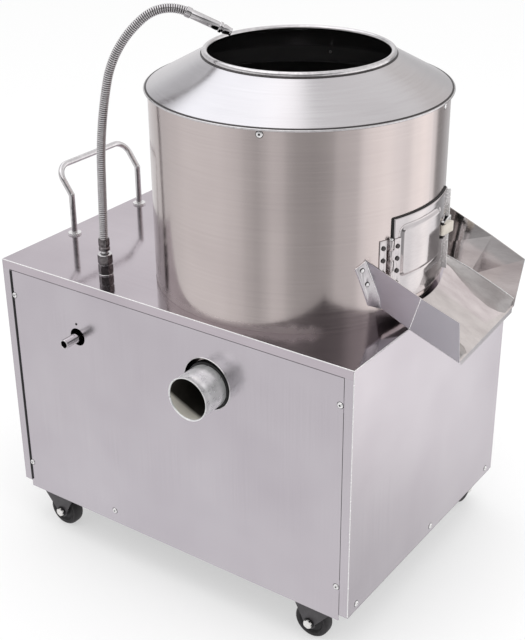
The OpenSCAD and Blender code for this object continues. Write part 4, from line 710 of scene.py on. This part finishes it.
# Behind the panel a black rubber sleeve joins the pipe to the barrel's neck; its black, seen in the
# hole's gap, is painted shade
DRAIN_SLEEVE_GAP_SHADE = [(34.4, -14), (38.6, -14), (38.6, -2.6), (38, -2), (34.4, -2), (34.4, -14)]
add_piece("drain_sleeve_gap_shade", put(lathe(DRAIN_SLEEVE_GAP_SHADE, 96), DRAIN), "stand", rubber)
# The panel's hole is pierced outwards, which leaves a raised lip
HOLE_LIP = [(42, 0), (42, 0.3), (42.5, 0.8), (43.1, 0.6), (43.5, 0), (42, 0)]
add_piece("drain_hole_lip", put(lathe(HOLE_LIP, 96), FACING_OUT @ moved(DRAIN_X, DRAIN_HOLE_Z, 0)),
          "stand", chrome)
# A hose spigot with its nut behind the panel
INLET_WALL = [(6, -41), (7.5, -41), (7.5, 0), (8, 0), (8, 30.8), (7.6, 31.8), (7, 32), (6.4, 31.8),
              (6, 31), (6, -41)]
inlet = together(lathe(INLET_WALL), hexagon(24, -42.4, -30.4, 7))
add_piece("inlet_spigot", put(inlet, INLET), "stand", chrome, ["water_inlet"])
# The spigot's bore is black as painted shade
INLET_BORE_SHADE = [(5.6, 31), (6.0, 31), (6.0, -40.9), (5.6, -40.9), (5.6, 31)]
add_piece("inlet_bore_shade", put(lathe(INLET_BORE_SHADE, 32), INLET), "stand", dull_rivet_and_shade)

# ---------------------------------------------------------------- screws

# A pan head with a deep socket, painted dark as shade, over a black ring of painted shade; +Z
# points into the sheet
PAN_HEAD = [(0, -1.1), (1.5, -1.1), (1.8, -1.9), (2.6, -1.95), (3.8, -1.55), (4.6, -0.8),
            (4.8, -0.3), (2, -0.3), (2, 3), (0, 3)]
SOCKET_SHADE = [(0, -1.25), (1.45, -1.25), (1.45, -0.9), (0, -0.9)]
SHADE_RING = [(2, 0), (2, -0.35), (5.2, -0.35), (5.6, 0), (2, 0)]
# Across and up on front and back; the front has one more, low down
PANEL_SCREWS, LOW_SCREW = [(21, 365), (649, 365), (649, 51), (21, 40)], (210, 12)
# Along the side panels' feet
SIDE_SCREWS, SIDE_SCREW_Z = (25, CAB_W / 2 + 15, CAB_W - 25), 12
RIM_SCREW_ANGLES, RIM_SCREW_DOWN = (-70, 11, 110, 200), 7


def add_screws(name, places, node):
    """Pan screws, with painted shade in black in their sockets and under their heads."""
    heads = together(*(put(lathe(PAN_HEAD, 24), place) for place in places))
    add_piece(f"{name}_screws", heads, "stand", zinc_and_highlight, [node])
    dark = together(*(put(lathe(ring, 24), place) for place in places
                      for ring in (SOCKET_SHADE, SHADE_RING)))
    add_piece(f"{name}_shade_rings", dark, "stand", rubber)


screw_places = [moved(x, 0, z) @ turned(-90, "X") for x, z in PANEL_SCREWS + [LOW_SCREW]]
screw_places += [moved(x, CAB_W, z) @ turned(90, "X") for x, z in PANEL_SCREWS]
for y in SIDE_SCREWS:
    screw_places.append(moved(0, y, SIDE_SCREW_Z) @ turned(90, "Y"))
    screw_places.append(moved(CAB_L, y, SIDE_SCREW_Z) @ turned(-90, "Y"))
add_screws("panel_pan", [CABINET @ place for place in screw_places], "panel_screws")
rim_places = [turned(a) @ moved(BARREL_R, 0, LIP_Z - RIM_SCREW_DOWN) @ turned(-90, "Y")
              for a in RIM_SCREW_ANGLES]
add_screws("hopper_pan", [BARREL @ place for place in rim_places], "hopper_screws")
# A dark cord in the front panel's left joint, where it is widest, is painted shade in the gap
SHADOW_CORD_X, SHADOW_CORD_R, SHADOW_CORD_HEIGHTS = 17.2, 2.1, (4, 140, 280, 408)
edge_shadow = wire([Vector((SHADOW_CORD_X, 0, z)) for z in SHADOW_CORD_HEIGHTS], SHADOW_CORD_R)
add_piece("panel_edge_shadow_cord", put(edge_shadow, CABINET), "stand", rubber)
# A small blind rivet above the inlet
BLIND_X, BLIND_Z = 155.8, 349.7
BLIND_RIVET = [(0, 0.3), (0.7, 0.3), (0.9, 1.0), (1.7, 0.8), (2.1, 0), (0, 0)]
add_piece("panel_blind_rivet", put(lathe(BLIND_RIVET, 24), FACING_OUT @ moved(BLIND_X, BLIND_Z, 0)),
          "stand", dull_rivet_and_shade)

# ---------------------------------------------------------------- door and latch

DOOR_HALF, DOOR_LOW, DOOR_HIGH, DOOR_FACE, DOOR_T = 79.5, 452, 585, 229.1, 2
# The raised panel's low and high corners, its height, corner radius and the slope round it
PANEL_OUTLINE, PANEL_RISE, PANEL_CORNER = ((-68, 494), (34, 569.5)), 3.5, 9
EDGE_STEP = 3.2
# The door's edge dips towards the barrel
EDGE_DIP, EDGE_DIP_IN = 0.7, 1.6
# The press leaves a groove just outside the raised panel
GROOVE, GROOVE_OUT = 1.0, 1.7


def ease(t):
    """Goes smoothly from 0 to 1 while t does."""
    t = min(max(t, 0), 1)
    return t * t * (3 - 2 * t)


def inside_by(y, z, low, high, corner):
    """How far a point lies inside a rectangle with round corners."""
    half = ((high[0] - low[0]) / 2 - corner, (high[1] - low[1]) / 2 - corner)
    dy = abs(y - (low[0] + high[0]) / 2) - half[0]
    dz = abs(z - (low[1] + high[1]) / 2) - half[1]
    return corner - math.hypot(max(dy, 0), max(dz, 0)) - min(max(dy, dz), 0)


def door_sheet():
    """The door's pressed sheet: a flat border that follows the barrel, and a raised panel."""
    columns, rows = 106, 90
    points = []
    for i in range(columns + 1):
        for k in range(rows + 1):
            y = DOOR_HALF * (2 * i / columns - 1)
            z = DOOR_LOW + (DOOR_HIGH - DOOR_LOW) * k / rows
            depth = inside_by(y, z, *PANEL_OUTLINE, PANEL_CORNER)
            rise = PANEL_RISE * ease(depth / EDGE_STEP)
            rise -= GROOVE * math.exp(-((depth + GROOVE_OUT) / GROOVE_OUT) ** 2)
            rim = inside_by(y, z, (-DOOR_HALF, DOOR_LOW), (DOOR_HALF, DOOR_HIGH), 0)
            r = DOOR_FACE + rise - EDGE_DIP * (1 - ease(rim / EDGE_DIP_IN))
            points.append(BARREL @ Vector((math.sqrt(r * r - y * y), y, z)))
    return points, skin(columns + 1, rows + 1, closed=False)


door = add_piece("pressed_door_sheet", door_sheet(), "door", polished_sheet,
                 ["door_plate"])
backed = door.modifiers.new("thickness", "SOLIDIFY")
backed.thickness = DOOR_T / 1000
backed.offset = -1

# The latch sits in from the door's edge and up from its foot
LATCH_IN, LATCH_UP = 30, 68
LATCH = BARREL @ turned(math.degrees(math.asin((DOOR_HALF - LATCH_IN) / DOOR_FACE))) @ moved(
    DOOR_FACE, 0, DOOR_LOW + LATCH_UP)
LATCH_PIN = LATCH @ moved(3.0, -8, 0)


def extruded(outline, low, high, eased):
    """A block from an outline, its ends eased by drawing the outline in."""
    middle = Vector((sum(x for x, y in outline), sum(y for x, y in outline), 0)) / len(outline)
    reach = max((Vector((x, y, 0)) - middle).length for x, y in outline)
    rings = []
    for z, share in ((low, 1 - eased / reach), (low + eased, 1), (high - eased, 1),
                     (high, 1 - eased / reach)):
        ring = [middle + (Vector((x, y, 0)) - middle) * share for x, y in outline]
        rings.append([Vector((p.x, p.y, z)) for p in ring])
    return loft(rings)


# The sheet's edge on the latch's side is folded outwards, and cut away for the strap. The fold is
# brighter than the door, as a painted highlight
FOLD = [(228.2, -0.8), (234.4, -0.8), (234.9, -0.4), (234.9, 0.4), (234.4, 0.8), (228.2, 0.8)]
FOLD_ANGLE, STRAP_LOW, STRAP_HIGH = 19.6, 521, 540
folds = together(extruded(FOLD, DOOR_LOW + 2, STRAP_LOW, 0.3),
                 extruded(FOLD, STRAP_HIGH, DOOR_HIGH - 2, 0.3))
add_piece("door_edge_fold_highlight", put(folds, BARREL @ turned(FOLD_ANGLE)), "door", zinc_and_highlight)
GRIP = [(3.4, -8), (4.2, -9.6), (5.8, -9.2), (13.6, 15.2), (13.9, 16.2), (13.2, 17), (12.2, 17.2),
        (3.4, 17)]
GRIP_LOW, GRIP_HIGH = 2.4, 18.6
KNUCKLE = [(1.4, GRIP_LOW), (2.7, GRIP_LOW), (2.7, GRIP_HIGH), (1.4, GRIP_HIGH), (1.4, GRIP_LOW)]
grip = together(put(extruded(GRIP, GRIP_LOW, GRIP_HIGH, 0.9), LATCH),
                put(lathe(KNUCKLE, 24), LATCH_PIN))
add_piece("ivory_grip", grip, "latch", urea, ["latch_grip"])
# The spring's black wire winds round the pin above and below the grip
COIL_R, COIL_RISE, COIL_WIRE, COIL_END = 2.5, 1.1, 0.45, Vector((1.0, 4.5, 0))
coils = []
for low in (-0.1, 19.0):
    turns = [Vector((COIL_R * math.cos(a), COIL_R * math.sin(a), low + COIL_RISE * a / math.tau))
             for a in (math.radians(30 * i) for i in range(23))]
    coils.append(wire([turns[0] + COIL_END] + turns, COIL_WIRE))
add_piece("latch_spring", put(together(*coils), LATCH_PIN), "door", dull_rivet_and_shade)
PIN_HEAD = [(0, 24.9), (1.3, 24.9), (2.2, 24.3), (2.4, 23.4), (0, 23.4)]
add_piece("latch_pin_head", put(lathe(PIN_HEAD, 24), LATCH_PIN), "door", zinc_and_highlight)

# ---------------------------------------------------------------- casters

# How far the axle trails its swivel, and its height
TRAIL, AXLE_Z = 24, -56
# Tyre, rim and hub: a proud hub boss, a dished web and a rounded tread
WHEEL_HALF = [(4.1, 11), (9, 11), (10, 10), (11, 7.4), (18.5, 7.0), (20, 8.6), (21.4, 10.2),
              (22.4, 9.4), (26, 10.2), (28, 9.2), (29.3, 7.2), (29.9, 4), (29.98, 0)]
WHEEL = WHEEL_HALF + [(r, -z) for r, z in WHEEL_HALF[-2::-1]] + [WHEEL_HALF[0]]
CAP_RING = [(4, 15), (8.4, 15), (8.8, 15.6), (8.8, 17.2), (8.2, 17.8), (4, 17.8), (4, 15)]
# Across, along and the way each caster trails, in degrees
caster_spots = [(42, 30, 0), (616, 30, 180), (42, 463, 270), (616, 463, 90)]
for i, (x, y, yaw) in enumerate(caster_spots, 1):
    axle = CABINET @ moved(x, y, AXLE_Z) @ turned(yaw) @ moved(TRAIL, 0, 0) @ turned(90, "X")
    add_piece(f"tyred_wheel_{i}", put(lathe(WHEEL, 64), axle), f"wheel_{i}", tread_rubber,
              [f"caster_wheel_{i}"])
    for side, flip in (("near", 0), ("far", 180)):
        facing = axle @ turned(flip, "X")
        add_piece(f"axle_ring_{side}_{i}", put(lathe(CAP_RING, 32), facing), f"fork_{i}", rubber)
        add_piece(f"axle_cap_{side}_{i}", put(hexagon(13.4, 17.2, 21.1, 0), facing), f"fork_{i}",
                  white_nylon)

# ---------------------------------------------------------------- chute

# Along the chute, u counts outwards from the barrel's axis and v sideways from the chute's middle
CHUTE = BARREL @ turned(3.5)
# The floor dips outwards, in degrees; at FLOOR_U it lies FLOOR_UP over the cabinet
CHUTE_DIP, FLOOR_U, FLOOR_UP = 24, 255.1, 2.2
# Half the width over the walls at three places along the chute: u and v
CHUTE_WIDTHS = ((168.8, 105), (247, 109), (325, 106))
CHUTE_WALL, WALL_LEAN = 1.6, 0.35
# The slope pressed along the foot of each wall: u, width and height
CHUTE_SLOPES = ((203, 3, 6.5), (225, 14, 8.2), (247, 28, 9.6), (275, 40, 10.4), (300, 44, 10.8),
                (316, 38, 10.6), (323, 30, 10.2))
# Each wall is bent where it meets the barrel, from one v and height over the floor to another
BARREL_FOLD_R, BARREL_FOLD = 227.1, ((106.9, 5), (131.3, 72))
# It is bent once more halfway, between two points in u, v and height
HALFWAY_FOLD = ((247, 109.1, 0), (272, 131.1, 62.9))


def between(start, end, share):
    """The numbers a share of the way from one set to another."""
    return [a + (b - a) * share for a, b in zip(start, end)]


def chute_floor(u):
    """Height of the chute's floor at u."""
    return CAB_H + FLOOR_UP - (u - FLOOR_U) * math.tan(math.radians(CHUTE_DIP))


def chute_half(u):
    """Half the width of the chute's floor at u, inside its walls."""
    near, bend, lip = CHUTE_WIDTHS
    start, end = (near, bend) if u < bend[0] else (bend, lip)
    return between(start, end, (u - start[0]) / (end[0] - start[0]))[1] - CHUTE_WALL


def chute_fold_highlight_wires(side):
    """Painted highlights: thin bright lines where one wall is bent, at the barrel, halfway and over
    its slope.
    """
    at_barrel, halfway = [], []
    for i in range(9):
        v, up = between(*BARREL_FOLD, i / 8)
        u = math.sqrt(BARREL_FOLD_R ** 2 - v * v)
        at_barrel.append(Vector((u, v * side, chute_floor(u) + up)))
        u, v, up = between(*HALFWAY_FOLD, i / 8)
        halfway.append(Vector((u, v * side, chute_floor(HALFWAY_FOLD[0][0]) + up)))
    over_slope = []
    for u, width, rise in CHUTE_SLOPES:
        v = chute_half(u) + WALL_LEAN * rise - 0.4
        over_slope.append(Vector((u, v * side, chute_floor(u) + rise + 0.2)))
    return together(wire(at_barrel, 1.0, 8), wire(halfway, 0.8, 8), wire(over_slope, 0.9, 8))


def chute_slope(side):
    """The hollow slope along the foot of a wall, solid down to the floor."""
    rings = []
    for u, width, rise in CHUTE_SLOPES:
        foot, floor = chute_half(u), chute_floor(u)
        ring = [(foot, 0.1)]
        for i in range(9):
            t = 1 - i / 8
            ring.append((foot - width * (1 - t) + WALL_LEAN * rise * t * t, 0.15 + rise * t ** 1.5))
        ring.append((foot - width, 0.1))
        rings.append([Vector((u, v * side, floor + z)) for v, z in ring])
    return loft(rings)


# The slopes are coloured darker grey as painted shade and the walls' painted reflection
add_piece("chute_side_slopes", put(together(chute_slope(1), chute_slope(-1)), CHUTE), "stand",
          crease_shade_sheet)
# The fold lines are painted highlights
add_piece("chute_fold_highlights", put(together(chute_fold_highlight_wires(1), chute_fold_highlight_wires(-1)), CHUTE), "stand", zinc_and_highlight)
# The chute's rivets are newer than the door's and still bright: angle to the side, and height
RIVET_OUT, RIVETS = 227.8, ((36.5, 92), (34.3, 69))
RIVET_FACE = [(0, 0.5), (1.6, 0.45), (2.6, 0.2), (3.0, 0), (0, 0), (0, 0.5)]
faces = together(*(put(lathe(RIVET_FACE, 24), turned(side * angle)
                       @ moved(RIVET_OUT, 0, CAB_H + up) @ turned(90, "Y"))
                   for side in (-1, 1) for angle, up in RIVETS))
add_piece("chute_rivet_faces", put(faces, CHUTE), "stand", zinc_and_highlight)

# ---------------------------------------------------------------- painted highlights on edges

# Bright wires along the folds of the cabinet's corner are painted highlights
HIGHLIGHT_R, HIGHLIGHT_IN = 0.75, 0.2
HIGHLIGHT_X, HIGHLIGHT_Z = CAB_L - HIGHLIGHT_IN, CAB_H - HIGHLIGHT_IN
corner_lines = ([(0, HIGHLIGHT_IN, HIGHLIGHT_Z), (CAB_L, HIGHLIGHT_IN, HIGHLIGHT_Z)],
                [(HIGHLIGHT_X, HIGHLIGHT_IN, 2), (HIGHLIGHT_X, HIGHLIGHT_IN, CAB_H - 2)],
                [(HIGHLIGHT_X, 0, HIGHLIGHT_Z), (HIGHLIGHT_X, CAB_W, HIGHLIGHT_Z)])
edges = together(*(wire([Vector(a).lerp(Vector(b), i / 8) for i in range(9)], HIGHLIGHT_R)
                   for a, b in corner_lines))
add_piece("edge_highlights", put(edges, CABINET), "stand", zinc_and_highlight)

# ---------------------------------------------------------------- eased edges of the CAD sheets

for name, width in (("top_plate", 1.2), ("front_panel", 0.6), ("rear_panel", 0.6),
                    ("left_side_panel", 1.0), ("right_side_panel", 1.0), ("discharge_chute", 1.0),
                    ("switch_box", 2.0), ("hinge_leaf_fixed", 0.3), ("hinge_leaf_door", 0.3),
                    ("caster_plates", 0.5)):
    ease_edges(name, width)
for i in (1, 2, 3, 4):
    ease_edges(f"caster_fork_{i}", 0.8)
